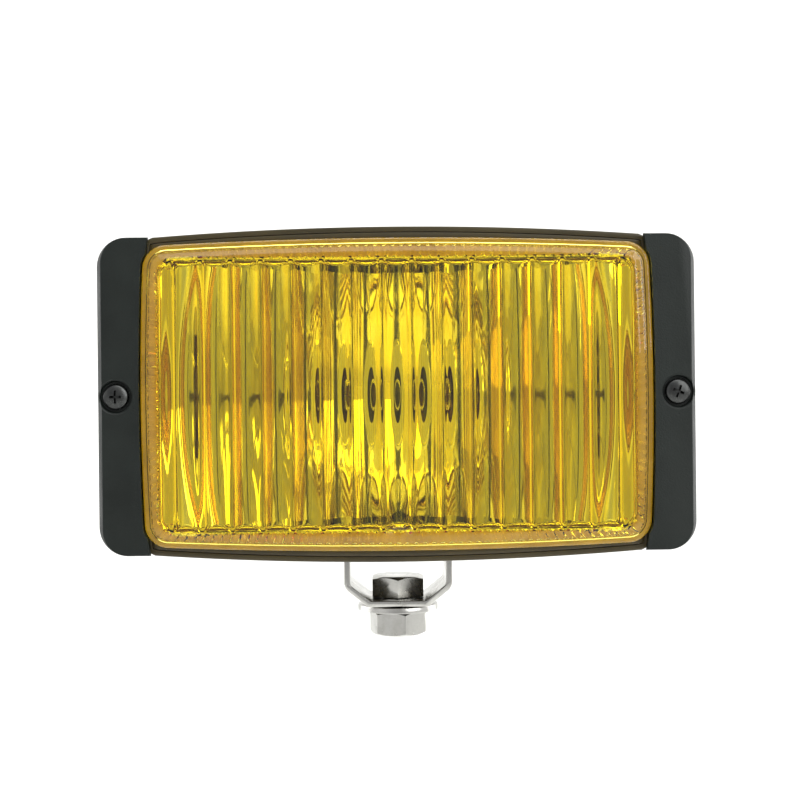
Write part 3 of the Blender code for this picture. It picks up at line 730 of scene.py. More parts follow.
@dataclass
class Lens:
    """Pressed yellow glass: shallow smooth dome in front, upright flutes behind, and a knurled rim."""

    crown_w: float = 1.2 * MM
    crown_h: float = 2.0 * MM
    corner: float = 6.5 * MM
    rim_step: float = 1.2 * MM  # how far the flat rim lies behind the dome
    edge_round: float = 0.8 * MM
    dome: float = 0.8 * MM
    rim_thickness: float = 3.1 * MM
    field_half_w: float = 72.26 * MM
    field_half_h: float = 41.1 * MM
    columns: int = 375  # steps across the field
    rows: int = 150  # and up it
    field_corner: float = 4.5 * MM
    flute_pitch: float = 9.25 * MM
    ridge_half: float = 0.95 * MM  # half width of the rounded ridge between two flutes
    ridge_radius: float = 1.35 * MM
    flute_radius: float = 3.7 * MM  # in the middle of a flute, which opens out to straighter flanks
    flank_slope: float = 1.95
    flute_end: float = 3.2 * MM  # radius with which a flute runs out at its ends
    knurl_pitch: float = 2.7 * MM
    flute_depth: float = 2.6 * MM  # and the depth that it runs out from
    plain_end: float = 0.3 * MM  # between the end of a flute and the field's edge
    knurl_height: float = 0.9 * MM
    knurl_section: tuple[tuple[float, float], ...] = ((0, 0.2), (0.12, 1), (0.88, 1), (1, 0.2))
    dome_shares: tuple[float, ...] = (0.2, 0.45, 0.7)
    dome_rings: tuple[float, ...] = (9.0, 8.2, 7.6, 7.0, 6.4, 5.8, 5.2)  # mm inside the edge
    step_rings: tuple[tuple[float, float], ...] = (  # mm inside the edge and mm behind the dome
        (4.6, 0.0), (4.3, 0.05), (4.0, 0.2), (2.9, 0.94), (2.5, 1.12), (2.1, 1.18), (1.7, 1.2))
    groove_rings: tuple[tuple[float, float], ...] = (  # mm inside the edge and mm behind the rim's back
        (1.3, 0.0), (1.45, -0.9), (1.75, -1.1), (2.05, -0.9))
    rim_inside: float = 2.15 * MM  # from the edge to where the knurls start
    key_inset: float = 6.2 * MM  # from the lens's bottom edge up to the middle of the locating key
    key_half_w: float = 3.2 * MM
    key_half_h: float = 1.7 * MM
    key_height: float = 0.4 * MM

    def __post_init__(self) -> None:
        """Take the outline and depth from the CAD lens."""
        low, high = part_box("lens")
        self.centre = middle("lens")
        self.front, self.back = low.y, high.y
        half_w, half_h = (high.x - low.x) / 2 - self.crown_w, (high.z - low.z) / 2 - self.crown_h
        self.edge = Outline(half_w, half_h, self.corner, self.crown_w, self.crown_h)
        self.field = Outline(self.field_half_w, self.field_half_h, self.field_corner)
        self.across = spread(self.columns + 1)
        self.up = spread(self.rows + 1)

    def recess(self, x: float, z: float) -> float:
        """How deep the flutes are cut at a point of the field.

        Args:
            x: Distance from the lamp's centre line.
            z: Height above the lamp's centre.

        Returns:
            Depth below the tops of the ridges.
        """
        half_pitch = self.flute_pitch / 2
        from_middle = abs((x + half_pitch) % self.flute_pitch - half_pitch)
        half_flute = half_pitch - self.ridge_half
        from_ridge = min(half_pitch - from_middle, self.ridge_half)
        across = self.ridge_radius - math.sqrt(self.ridge_radius ** 2 - from_ridge ** 2)
        if from_middle < half_flute:
            waist = self.flute_radius * self.flank_slope
            across += self.flank_slope * (math.hypot(waist, half_flute) - math.hypot(waist, from_middle))
        from_end = max(self.field.half_h - abs(z) - self.plain_end, 0.0)
        short = max(1 - from_end / self.flute_end, 0.0)
        return min(across, self.flute_depth * math.sqrt(max(1 - short ** 2, 0.0)))

    def front_at(self, x: float, z: float) -> float:
        """Depth of the smooth front, a shallow dome."""
        return self.front + self.dome * ((x / self.edge.half_w) ** 2 + (z / self.edge.half_h) ** 2) / 2

    def dome_loop(self, outline: Outline, steps: Sequence[tuple[float, float]],
                  behind: float) -> list[Vector]:
        """Section that follows the dome.

        Args:
            outline: Outline of the section.
            steps: Steps round the outline.
            behind: Distance behind the dome.

        Returns:
            The section's points.
        """
        points = []
        for u, v in steps:
            x, z = outline.at(u, v)
            depth = self.front_at(x, z) + behind - self.key_rise(x, z)
            points.append(Vector((self.centre.x + x, depth, self.centre.z + z)))
        return points

    def key_rise(self, x: float, z: float) -> float:
        """How far the locating key, a low ridge bent into a C at the bottom of the lens, stands out.

        Args:
            x: Distance from the lamp's centre line.
            z: Height above the lamp's centre.

        Returns:
            Height of the ridge above the dome.
        """
        up = z + self.edge.half_h + self.crown_h - self.key_inset
        round_key = math.hypot(x / self.key_half_w, up / self.key_half_h)
        opening = 1.0 if up > -0.3 * self.key_half_h else 0.0
        return self.key_height * opening * math.exp(-((round_key - 1) / 0.3) ** 2)

    def knurled(self, outline: Outline, steps: Sequence[tuple[float, float]], y: float,
                height: float) -> list[Vector]:
        """Section whose points rise and fall round the rim.

        Args:
            outline: Outline of the section.
            steps: Steps round the outline.
            y: Depth of the valleys.
            height: How far the knurls stand out.

        Returns:
            The section's points.
        """
        flat = loop_at(outline, steps, y, self.centre)
        lengths = [(after - here).length for here, after in zip(flat, flat[1:] + flat[:1])]
        teeth = round(sum(lengths) / self.knurl_pitch)
        points, run = [], 0.0
        for here, length in zip(flat, lengths):
            wave = 0.5 - 0.5 * math.cos(math.tau * teeth * run / sum(lengths))
            points.append(here - Vector((0, height * wave, 0)))
            run += length
        return points

    def build(self) -> None:
        """Skin the front, edge and rim, then close the back with the fluted field."""
        steps = square_loop(self.across, self.up)
        sections = []
        for share in self.dome_shares:
            inner = Outline(self.edge.half_w * share, self.edge.half_h * share, self.corner * share)
            sections.append(self.dome_loop(inner, steps, 0.0))
        for inset in self.dome_rings:
            sections.append(self.dome_loop(self.edge.grown(-inset * MM), steps, 0.0))
        for inset, drop in self.step_rings:
            sections.append(self.dome_loop(self.edge.grown(-inset * MM), steps, drop * MM))
        for angle in (0, 22, 45, 67, 90):
            turn = math.radians(angle)
            inset = self.edge_round * (1 - math.sin(turn))
            drop = self.rim_step + self.edge_round * (1 - math.cos(turn))
            sections.append(self.dome_loop(self.edge.grown(-inset), steps, drop))
        rim_back = self.front + self.dome + self.rim_thickness
        sections.append(loop_at(self.edge, steps, rim_back - 0.3 * MM, self.centre))
        sections.append(loop_at(self.edge.grown(-0.3 * MM), steps, rim_back, self.centre))
        for inset, behind in self.groove_rings:
            groove = self.edge.grown(-inset * MM)
            sections.append(loop_at(groove, steps, rim_back + behind * MM, self.centre))
        outer = self.edge.grown(-self.rim_inside)
        inner = replace(self.field.grown(0.8 * MM), crown_h=0.2 * MM)
        for share, height in self.knurl_section:
            band = Outline(outer.half_w + (inner.half_w - outer.half_w) * share,
                           outer.half_h + (inner.half_h - outer.half_h) * share,
                           outer.radius + (inner.radius - outer.radius) * share,
                           outer.crown_w * (1 - share), outer.crown_h * (1 - share))
            sections.append(self.knurled(band, steps, rim_back, self.knurl_height * height))
        sections.append(loop_at(self.field.grown(0.5 * MM), steps, rim_back, self.centre))
        sections.append(loop_at(self.field.grown(0.2 * MM), steps, self.back - 0.3 * MM, self.centre))
        sections.append(loop_at(self.field, steps, self.back - 0.1 * MM, self.centre))
        shell = Bench.loft("lens_shell", sections, end=False)
        lens = Bench.join([shell, self.fluted_field()], "lens_glass")
        Bench.smooth(lens, 38.0)
        Bench.dress(lens, Finishes.YELLOW_GLASS, Body.LAMP, "lens")

    def fluted_field(self) -> bpy.types.Object:
        """Grid shaped into the flutes.

        Returns:
            The open sheet that closes the back of the lens.
        """
        Bench.deselect()
        columns, rows = len(self.across), len(self.up)
        bpy.ops.mesh.primitive_grid_add(x_subdivisions=columns - 1, y_subdivisions=rows - 1, size=2.0)
        sheet = Bench.named("lens_field")
        for vertex in sheet.data.vertices:
            column = round((vertex.co.x + 1) / 2 * (columns - 1))
            row = round((vertex.co.y + 1) / 2 * (rows - 1))
            x, z = self.field.at(self.across[column], self.up[row])
            edge = column in (0, columns - 1) or row in (0, rows - 1)
            depth = self.back - 0.1 * MM - (0.0 if edge else self.recess(x, z))
            vertex.co = Vector((self.centre.x + x, depth, self.centre.z + z))
        return sheet


@dataclass
class Reflector:
    """Aluminised bowl with flat walls above and below and a round step for the bulb."""

    focal_length: float = 24.0 * MM
    vertex_y: float = 11.0 * MM
    half_w: float = 71.5 * MM
    half_h: float = 40.2 * MM
    corner: float = 5.0 * MM
    wall: float = 1.2 * MM
    socket_y: float = 4.8 * MM
    socket_r: float = 17.0 * MM
    edge_blend: float = 2.5 * MM  # how softly the bowl runs into the flat at its far corners
    hole_r: float = 9.5 * MM
    crown_h: float = 2.6 * MM  # bow of the flange's top and bottom
    rings: int = 26
    across: int = 91  # points along the top of a section
    up: int = 53  # and along its side

    def __post_init__(self) -> None:
        """Take the centre and the flange's plane from the CAD reflector."""
        low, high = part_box("reflector")
        self.centre = middle("reflector")
        self.flange_y = low.y
        half_h = (high.z - low.z) / 2 - self.crown_h
        self.flange = Outline((high.x - low.x) / 2, half_h, 3.0 * MM, 0.0, self.crown_h)
        self.rim = Outline(self.half_w, self.half_h, self.corner)
        self.steps = square_loop(spread(self.across), spread(self.up))

    def bowl(self, share: float, behind: bool) -> list[Vector]:
        """Section of the bowl between the bulb's step and the rim.

        Args:
            share: From 0 at the step to 1 at the rim.
            behind: Whether the section is on the back of the sheet.

        Returns:
            The section's points.
        """
        points = []
        for u, v in self.steps:
            edge = Vector(self.rim.at(u, v))
            flat = edge.normalized() * (self.socket_r + 0.5 * MM) * (1 - share) + edge * share
            slope = flat.length / (2 * self.focal_length)
            depth = self.vertex_y - flat.length_squared / (4 * self.focal_length)
            over = (depth - self.flange_y - 0.8 * MM) / self.edge_blend
            depth += self.edge_blend * math.log1p(math.exp(-over)) if over > -20 else -over * self.edge_blend
            depth += self.wall * math.hypot(1, slope) if behind else 0.0
            points.append(Vector((self.centre.x + flat.x, depth, self.centre.z + flat.y)))
        return points

    def ring(self, radius: float, y: float) -> list[Vector]:
        """Circle with its points in line with those of the rim."""
        bearings = [Vector(self.rim.at(u, v)).normalized() * radius for u, v in self.steps]
        return [Vector((self.centre.x + flat.x, y, self.centre.z + flat.y)) for flat in bearings]

    def build(self) -> None:
        """Skin the mirror side and the back of the pressed sheet."""
        shares = [i / self.rings for i in range(self.rings + 1)]
        front = [self.ring(self.hole_r, self.socket_y), self.ring(self.socket_r - 0.4 * MM, self.socket_y),
                 self.ring(self.socket_r, self.socket_y + 0.3 * MM)]
        front += [self.bowl(share, False) for share in shares]
        front += [loop_at(self.rim, self.steps, self.flange_y + 0.3 * MM, self.centre),
                  loop_at(self.rim.grown(0.3 * MM), self.steps, self.flange_y, self.centre),
                  loop_at(self.flange, self.steps, self.flange_y, self.centre)]
        back_rim = self.rim.grown(self.wall)
        foot = [Vector((a.x, b.y, a.z)) for a, b in
                zip(loop_at(back_rim, self.steps, 0.0, self.centre), self.bowl(1.0, True))]
        back = [self.ring(self.hole_r, self.socket_y + self.wall),
                self.ring(self.socket_r - self.wall, self.socket_y + self.wall),
                self.ring(self.socket_r - 0.7 * MM, self.vertex_y - 2.7 * MM)]
        back += [self.bowl(share, True) for share in shares[:-1]]
        back += [foot, loop_at(back_rim, self.steps, self.flange_y + self.wall, self.centre),
                 loop_at(self.flange, self.steps, self.flange_y + self.wall, self.centre)]
        sheet = Bench.loft("reflector_bowl", list(reversed(front)) + back, ring=True)
        Bench.smooth(sheet, 30.0)
        Bench.dress(sheet, Finishes.MIRROR, Body.LAMP, "reflector")


@dataclass
class Seals:
    """Buff bead behind the lens's rim, and the rubber gasket between the lens unit and the housing's lip."""

    across: int = 81  # points along the top of a section
    up: int = 49  # and along its side
    bead_front_gap: float = 0.08 * MM
    reach: float = 0.5 * MM  # how far the bead stays inside the lens's edge
    field_gap: float = 0.9 * MM  # between the bead and the fluted field

    def build(self, lens: Lens, reflector: Reflector) -> None:
        """Lay the bead from the lens's rim back to the reflector's flange.

        Args:
            lens: Lens that the bead lies behind.
            reflector: Reflector that it seals to.
        """
        steps = square_loop(spread(self.across), spread(self.up))
        rim_back = lens.front + lens.dome + lens.rim_thickness + self.bead_front_gap
        over_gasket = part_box("rim_gasket")[0].y - 0.15 * MM
        on_flange = reflector.flange_y - 0.1 * MM
        outer, inner = lens.edge.grown(-self.reach), lens.field.grown(self.field_gap)
        foot_out, foot_in = reflector.flange.grown(-0.2 * MM), reflector.flange.grown(-1.3 * MM)
        section = ((outer, rim_back), (outer, over_gasket), (foot_out, over_gasket), (foot_out, on_flange),
                   (foot_in, on_flange), (foot_in, over_gasket + 0.35 * MM), (inner, rim_back + 0.3 * MM),
                   (inner, rim_back))
        sections = [loop_at(outline, steps, y, lens.centre) for outline, y in section]
        bead = Bench.loft("lens_seal_bead", sections, ring=True)
        Bench.smooth(bead)
        Bench.dress(bead, Finishes.SEALANT, Body.LAMP, "lens_seal")
        self.build_gasket(reflector)

    def build_gasket(self, reflector: Reflector) -> None:
        """Make the rubber gasket that fills the gap between the lens's edge and the housing's lip.

        Args:
            reflector: Reflector whose flange the gasket clears.
        """
        low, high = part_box("rim_gasket")
        centre = middle("lens")
        steps = square_loop(spread(self.across), spread(self.up))
        half_w, half_h = (high.x - low.x) / 2, (high.z - low.z) / 2 - 2.72 * MM
        outer = Outline(half_w + 0.2 * MM, half_h, 1.0 * MM, 0.0, 3.0 * MM)
        inner = Outline(half_w - 1.5 * MM, half_h - 1.1 * MM, 1.5 * MM, 0.0, 2.1 * MM)
        behind = Outline(inner.half_w - 0.2 * MM, inner.half_h + 0.1 * MM, 1.2 * MM, 0.0, 2.7 * MM)
        r, over_flange = 0.15 * MM, reflector.flange_y - 0.2 * MM
        section = ((outer, high.y), (outer, low.y + r), (outer.grown(-0.3 * r), low.y + 0.3 * r),
                   (outer.grown(-r), low.y), (inner.grown(r), low.y),
                   (inner.grown(0.3 * r), low.y + 0.3 * r), (inner, low.y + r), (inner, over_flange),
                   (behind, over_flange), (behind, high.y))
        loops = [loop_at(outline, steps, y, centre) for outline, y in section]
        gasket = Bench.loft("rim_gasket_rubber", loops, ring=True)
        Bench.smooth(gasket)
        Bench.dress(gasket, Finishes.GASKET_RUBBER_PAINTED_TINT, Body.LAMP, "rim_gasket")


# Housing and end caps ------------------------------------------------------------------------------

@dataclass
class Housing:
    """Moulded tub: a deep lip, a shoulder, a bowl that follows the reflector, and the lug."""

    lip_corner: float = 2.5 * MM
    lip_crown: float = 3.0 * MM
    lip_wall: float = 1.7 * MM
    wall: float = 2.2 * MM
    shoulder_y: float = -31.0 * MM
    rear_y: float = 20.5 * MM
    focal_length: float = 24.0 * MM
    edge_round: float = 0.35 * MM
    tub_steps: int = 22
    tub_half_w: float = 74.0 * MM
    tub_half_h: float = 45.2 * MM
    tub_height: float = 0.85  # of the tub's bowl, as a share of a round one
    across: int = 61  # points along the top of a section
    up: int = 37  # and along its side
    rear_drop: float = 3.0 * MM  # depth of the rounding round the rear wall
    lug_r: float = 5.4 * MM
    lug_bore_r: float = 4.3 * MM
    flange_y: float = -34.4 * MM
    flange_wall: float = 2.4 * MM
    flange_half_h: float = 46.1 * MM
    flange_corner: float = 6.0 * MM
    boss_r: float = 3.4 * MM
    boss_length: float = 3.4 * MM  # behind the flange's front
    rib_width: float = 2.4 * MM
    rib_height: float = 1.1 * MM
    rib_x: float = 22.0 * MM
    rib_steps: int = 12
    low_rib_y: float = 9.0 * MM  # the ribs below start this far back, past the lug

    def __post_init__(self) -> None:
        """Take the lip, the lug's place and the flanges from the CAD housing."""
        low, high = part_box("housing")
        gasket_low, gasket_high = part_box("rim_gasket")
        self.centre = middle("lens")
        self.front = gasket_low.y
        self.flange_x = (high.x - low.x) / 2
        self.half_w = (gasket_high.x - gasket_low.x) / 2 + self.lip_wall + 0.3 * MM
        self.half_h = high.z - self.centre.z - self.lip_crown
        self.steps = square_loop(spread(self.across), spread(self.up))

    def tub(self, y: float, wall: float) -> Outline:
        """Outline of the tub at one depth.

        Args:
            y: Depth.
            wall: How far the outline is moved in.

        Returns:
            The outline.
        """
        half_w = math.sqrt(4 * self.focal_length * (self.rear_y + 4.5 * MM - y))
        half_h = self.tub_height * math.sqrt(4 * self.focal_length * (self.rear_y + 3.5 * MM - y))
        half_w, half_h = min(half_w, self.tub_half_w), min(half_h, self.tub_half_h)
        depth = (y - self.shoulder_y) / (self.rear_y - self.shoulder_y)
        corner = min(8.0 * MM + 22.0 * MM * depth, 0.8 * half_h)
        return Outline(half_w - wall, half_h - wall, corner - wall, 0.0, 2.0 * MM * (1 - depth) ** 3)

    def lip(self, inset: float) -> Outline:
        """Outline of the lip, moved in by a distance."""
        half_w, half_h, corner = self.half_w - inset, self.half_h - inset, self.lip_corner - inset
        return Outline(half_w, half_h, corner, 0.0, self.lip_crown)

    def loops(self, pairs: Iterable[tuple[Outline, float]]) -> list[list[Vector]]:
        """Sections from pairs of an outline and its depth."""
        return [loop_at(outline, self.steps, y, self.centre) for outline, y in pairs]

    def build(self) -> None:
        """Skin the shell, then add lug, flanges, bosses and ribs, and bore the holes."""
        r = self.edge_round
        rear = self.rear_y - self.rear_drop
        step = (rear - self.shoulder_y) / self.tub_steps
        depths = [self.shoulder_y + step * i for i in range(self.tub_steps + 1)]
        inner = [(self.tub(y, self.wall), y) for y in depths]
        inner[-1] = (self.tub(self.rear_y - 4.0 * MM, self.wall), self.rear_y - self.wall)
        inside = self.lip(self.lip_wall)
        inner = [(inside, self.front + r), (inside, self.shoulder_y - self.wall)] + inner
        outer = [(self.lip(self.lip_wall - 0.3 * r), self.front + 0.3 * r),
                 (self.lip(self.lip_wall - r), self.front), (self.lip(r), self.front),
                 (self.lip(0.3 * r), self.front + 0.3 * r), (self.lip(0), self.front + r),
                 (self.lip(0), self.shoulder_y - 1.8 * MM), (self.lip(0.4 * MM), self.shoulder_y - 1.2 * MM),
                 (self.lip(1.2 * MM), self.shoulder_y - 0.9 * MM)]
        outer += [(self.tub(y, 0.0), y) for y in depths]
        for share in (0.35, 0.65, 0.9, 1.0):
            y = rear + (self.rear_y - rear) * math.sin(share * math.pi / 2)
            outer.append((self.tub(rear + (self.rear_y - rear) * share, 0.6 * MM * share), y))
        shell = Bench.loft("housing_tub", self.loops(list(reversed(inner)) + outer))
        self.add_lug(shell)
        for side in Side:
            self.add_flange(shell, side)
        self.add_ribs(shell)
        self.bore_rear(shell)
        Bench.smooth(shell, 30.0)
        Bench.dress(shell, Finishes.HOUSING_PLASTIC, Body.LAMP, "housing")

    def add_lug(self, shell: bpy.types.Object) -> None:
        """Join the round lug and its web to the tub, and bore it for the bush.

        Args:
            shell: The tub.
        """
        pivot = middle("pivot_bush")
        low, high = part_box("pivot_bush")
        half = (high.x - low.x) / 2
        radius = self.lug_r
        top = self.centre.z - self.tub(0.0, 0.0).half_h + 1.2 * MM
        outline = [Vector((-half, y, z)) for y, z in arc(0.0, pivot.z, radius, 180, 360, 12)]
        flare = radius + 1.6 * MM
        outline += [Vector((-half, radius, pivot.z + 3 * MM)), Vector((-half, flare, top)),
                    Vector((-half, 0.0, top + 0.6 * MM)),
                    Vector((-half, -radius, self.centre.z - self.tub(-radius, 0.0).half_h + 0.8 * MM)),
                    Vector((-half, -radius, pivot.z + 3 * MM))]
        lug = Bench.slab("lug", outline, Vector((2 * half, 0, 0)))
        Bench.bevel(lug, 0.5 * MM, 2, 50)
        Bench.boolean(shell, lug, "UNION")
        bore = drill(self.lug_bore_r, 2 * half, 48)
        Bench.move(bore, Matrix.Translation(pivot) @ quarter_turn("Y"))
        Bench.boolean(shell, bore, "DIFFERENCE")

    def add_flange(self, shell: bpy.types.Object, side: Side) -> None:
        """Join the plate that closes one end cap from behind, with the boss for its insert.

        Args:
            shell: The tub.
            side: Side of the lamp.
        """
        screw = middle(f"insert_nut_{side.label}")
        half_h, corner = self.flange_half_h, self.flange_corner
        inner_x, corner_x = self.half_w - 0.8 * MM, self.flange_x - corner
        flat = [(inner_x, -half_h), *arc(corner_x, corner - half_h, corner, -90, 0, 15),
                *arc(corner_x, half_h - corner, corner, 0, 90, 15), (inner_x, half_h)]
        outline = [Vector((side.value * x, self.flange_y, self.centre.z + z)) for x, z in flat]
        plate = Bench.slab("side_flange", outline, Vector((0, self.flange_wall, 0)))
        Bench.bevel(plate, 0.4 * MM, 2, 60)
        Bench.boolean(shell, plate, "UNION")
        low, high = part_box(f"insert_nut_{side.label}")
        front, back = low.y - 0.1 * MM, self.flange_y + self.boss_length
        bore_r = high.z - screw.z + 0.2 * MM
        boss = Bench.spin("boss", [
            (0, -front), (self.boss_r - 0.2 * MM, -front), (self.boss_r, 0.2 * MM - front),
            (self.boss_r, -back), (self.boss_r - 0.8 * MM, -back - 0.5 * MM), (0, -back - 0.5 * MM)], 48)
        bore = Bench.spin("boss_bore", [(0, MM - front), (bore_r, MM - front), (bore_r, 1.2 * MM - back),
                                        (0, 0.6 * MM - back)], 48)
        place = Matrix.Translation((screw.x, 0, screw.z)) @ quarter_turn("X")
        for tool, operation in ((boss, "UNION"), (bore, "DIFFERENCE")):
            Bench.move(tool, place)
            Bench.boolean(shell, tool, operation)

    def add_ribs(self, shell: bpy.types.Object) -> None:
        """Join low upright ribs to the back of the tub, two above and two shorter ones below.

        Args:
            shell: The tub.
        """
        first, last, count = self.shoulder_y + 4 * MM, self.rear_y - 2.5 * MM, self.rib_steps
        for x in (-self.rib_x, self.rib_x):
            depths = [first + (last - first) * i / count for i in range(count + 1)]
            rows = [(y, self.tub(y, 0.0).half_h) for y in depths]
            outer = [(y, half_h + self.rib_height * min(1.0, (count - i) / 3, (i + 0.4) / 2))
                     for i, (y, half_h) in enumerate(rows)]
            for flip in (1, -1):
                if flip < 0:
                    outer = [(y, h) for y, h in outer if y > self.low_rib_y]
                    rows = [(y, h) for y, h in rows if y > self.low_rib_y]
                loop = [Vector((x - self.rib_width / 2, y, self.centre.z + flip * h)) for y, h in outer]
                loop += [Vector((x - self.rib_width / 2, y, self.centre.z + flip * (h - 1.2 * MM)))
                         for y, h in reversed(rows)]
                rib = Bench.slab("rib", loop, Vector((self.rib_width, 0, 0)))
                Bench.bevel(rib, 0.35 * MM, 2, 60)
                Bench.boolean(shell, rib, "UNION")

    def bore_rear(self, shell: bpy.types.Object) -> None:
        """Bore the rear wall for the grommet and the breather.

        Args:
            shell: The tub.
        """
        for node, radius in (("cable_grommet", 4.3 * MM), ("breather_cap", 2.9 * MM)):
            hole = drill(radius, steps=48)
            Bench.move(hole, Matrix.Translation(middle(node)) @ quarter_turn("X"))
            Bench.boolean(shell, hole, "DIFFERENCE")


@dataclass
class EndCaps:
    """Black caps beside the lens with rounded outer edges, and the recessed screw in each."""

    corner: float = 9.0 * MM
    wall: float = 2.2 * MM
    plate: float = 3.0 * MM
    inner_x: float = 75.8 * MM
    counterbore_r: float = 4.85 * MM
    counterbore_y: float = -44.2 * MM
    lens_gap: float = 0.45 * MM
    wall_x: float = 77.8 * MM
    seat_wall: float = 0.6 * MM  # round the counterbore
    shank_r: float = 2.2 * MM  # of the hole for the screw's shank
    edge_rings: tuple[tuple[float, float], ...] = (  # mm inside the outer edge and mm behind the front
        (1.75, 0.0), (1.6, 0.05), (1.5, 0.15), (0.3, 1.9), (0.08, 2.4), (0.0, 2.9))
    edge_up: float = 0.22  # how far the top and bottom edges slope, as a share of the outer one
    arc_step: int = 9  # degrees
    screw_turn: float = 22.0  # of the right screw's cross, in degrees
    thread_pitch: float = 0.7 * MM

    def build(self, lens: Lens) -> None:
        """Make both caps and their screws.

        Args:
            lens: Lens whose side the caps follow.
        """
        for side in Side:
            self.build_cap(lens, side)
            self.build_screw(side)

    def corners(self, outer_x: float, half_h: float, radius: float) -> list[tuple[float, float]]:
        """Two rounded outer corners of the right cap, from the bottom up."""
        return [*arc(outer_x - radius, radius - half_h, radius, -90, 0, self.arc_step),
                *arc(outer_x - radius, half_h - radius, radius, 0, 90, self.arc_step)]

    def build_cap(self, lens: Lens, side: Side) -> None:
        """Make one cap: body, hollow, screw seat and counterbore.

        Args:
            lens: Lens whose side the cap follows.
            side: Side of the lamp.
        """
        low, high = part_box(f"end_cap_{side.label}")
        outer_x = max(abs(low.x), abs(high.x))
        half_h = (high.z - low.z) / 2
        lens_side = [lens.edge.grown(self.lens_gap).at(1.0, v) for v in spread(65)]
        beside = [(x, z) for x, z in lens_side if x > self.inner_x]
        rings = []
        for inset, drop in self.edge_rings:
            across, up = inset * MM, self.edge_up * inset * MM
            flat = [(self.inner_x, -half_h + up)]
            flat += self.corners(outer_x - across, half_h - up, self.corner - across)
            flat += [(self.inner_x, half_h - up)] + list(reversed(beside))
            rings.append([Vector((side.value * x, low.y + drop * MM, lens.centre.z + z)) for x, z in flat])
        rings.append([Vector((point.x, high.y, point.z)) for point in rings[-1]])
        cap = Bench.loft(f"end_cap_shell_{side.label}", rings)

        reach = 2 * half_h
        flat = [(self.wall_x / 2, -reach), (self.wall_x, -reach), (self.wall_x, self.wall - half_h)]
        flat += self.corners(outer_x - self.wall, half_h - self.wall, self.corner - self.wall)
        flat += [(self.wall_x, half_h - self.wall), (self.wall_x, reach), (self.wall_x / 2, reach)]
        outline = [Vector((side.value * x, low.y + self.plate, lens.centre.z + z)) for x, z in flat]
        hollow = Bench.slab("cap_hollow", outline, Vector((0, high.y - low.y, 0)))
        Bench.boolean(cap, hollow, "DIFFERENCE")

        screw = middle(f"cap_screw_{side.label}")
        bore_r, seat_y, front = self.counterbore_r, -self.counterbore_y, -low.y
        rim_r, seat_back = bore_r + self.seat_wall, front - self.plate - 1.9 * MM
        seat_top = front - self.plate + 1.5 * MM
        seat = Bench.spin("seat", [(0, seat_top), (rim_r, seat_top), (rim_r, seat_back), (0, seat_back)], 64)
        bore = Bench.spin("counterbore", [
            (0, front + 5 * MM), (rim_r + 5 * MM, front + 5 * MM), (rim_r, front),
            (bore_r + 0.15 * MM, front - 0.3 * MM), (bore_r, front - 0.7 * MM), (bore_r, seat_y + 0.2 * MM),
            (bore_r - 0.2 * MM, seat_y), (self.shank_r, seat_y), (self.shank_r, seat_back - 2 * MM),
            (0, seat_back - 2 * MM)], 64)
        place = Matrix.Translation((screw.x, 0, screw.z)) @ quarter_turn("X")
        for tool, operation in ((seat, "UNION"), (bore, "DIFFERENCE")):
            Bench.move(tool, place)
            Bench.boolean(cap, tool, operation)
        Bench.smooth(cap, 30.0)
        Bench.dress(cap, Finishes.CAP_PLASTIC, Body.LAMP, f"end_cap_{side.label}")

    def build_screw(self, side: Side) -> None:
        """Make one pan-head screw with a cross recess and a threaded shank.

        Args:
            side: Side of the lamp.
        """
        node = f"cap_screw_{side.label}"
        low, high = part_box(node)
        centre = middle(node)
        head_r, under_head, end = (high.z - low.z) / 2, -self.counterbore_y + 0.3 * MM, -high.y
        top = -low.y
        crown = [(head_r * math.sin(math.radians(a)) * 0.98,
                  under_head + 0.9 * MM + (top - under_head - 0.9 * MM) * math.cos(math.radians(a)))
                 for a in range(0, 86, 8)]
        shank = [(1.5 * MM, under_head)]
        core, thread_r = 1.55 * MM, 1.9 * MM
        for i in range(int((under_head - end - 1.2 * MM) / self.thread_pitch)):
            z = under_head - 0.4 * MM - i * self.thread_pitch
            shank += [(core, z), (thread_r, z - 0.3 * MM), (thread_r, z - 0.4 * MM), (core, z - 0.65 * MM)]
        profile = crown + [(head_r, under_head + 0.55 * MM), (head_r, under_head + 0.15 * MM),
                           (head_r - 0.15 * MM, under_head)] + shank + [(1.2 * MM, end), (0, end)]
        screw = Bench.spin(f"screw_{side.label}", profile, 64)
        long, wide, deep = 2.15 * MM, 0.42 * MM, 1.5 * MM
        cross = [(long, -wide), (long, wide), (wide, wide), (wide, long), (-wide, long), (-wide, wide),
                 (-long, wide), (-long, -wide), (-wide, -wide), (-wide, -long), (wide, -long), (wide, -wide)]
        mouth = [Vector((x, y, top + 0.4 * MM)) for x, y in cross]
        floor = [Vector((x * 0.42, y * 0.75, top - deep)) for x, y in cross]
        recess = Bench.loft("recess", [mouth, floor])
        Bench.boolean(screw, recess, "DIFFERENCE")
        turn = math.radians(self.screw_turn if side is Side.RIGHT else 0)
        Bench.move(screw, Matrix.Translation((centre.x, 0, centre.z)) @ Matrix.Rotation(turn, 4, "Y")
                   @ quarter_turn("X"))
        Bench.smooth(screw, 28.0)
        Bench.dress(screw, Finishes.SCREW_STEEL, Body.LAMP, node)


# Bulb and rear fittings ----------------------------------------------------------------------------

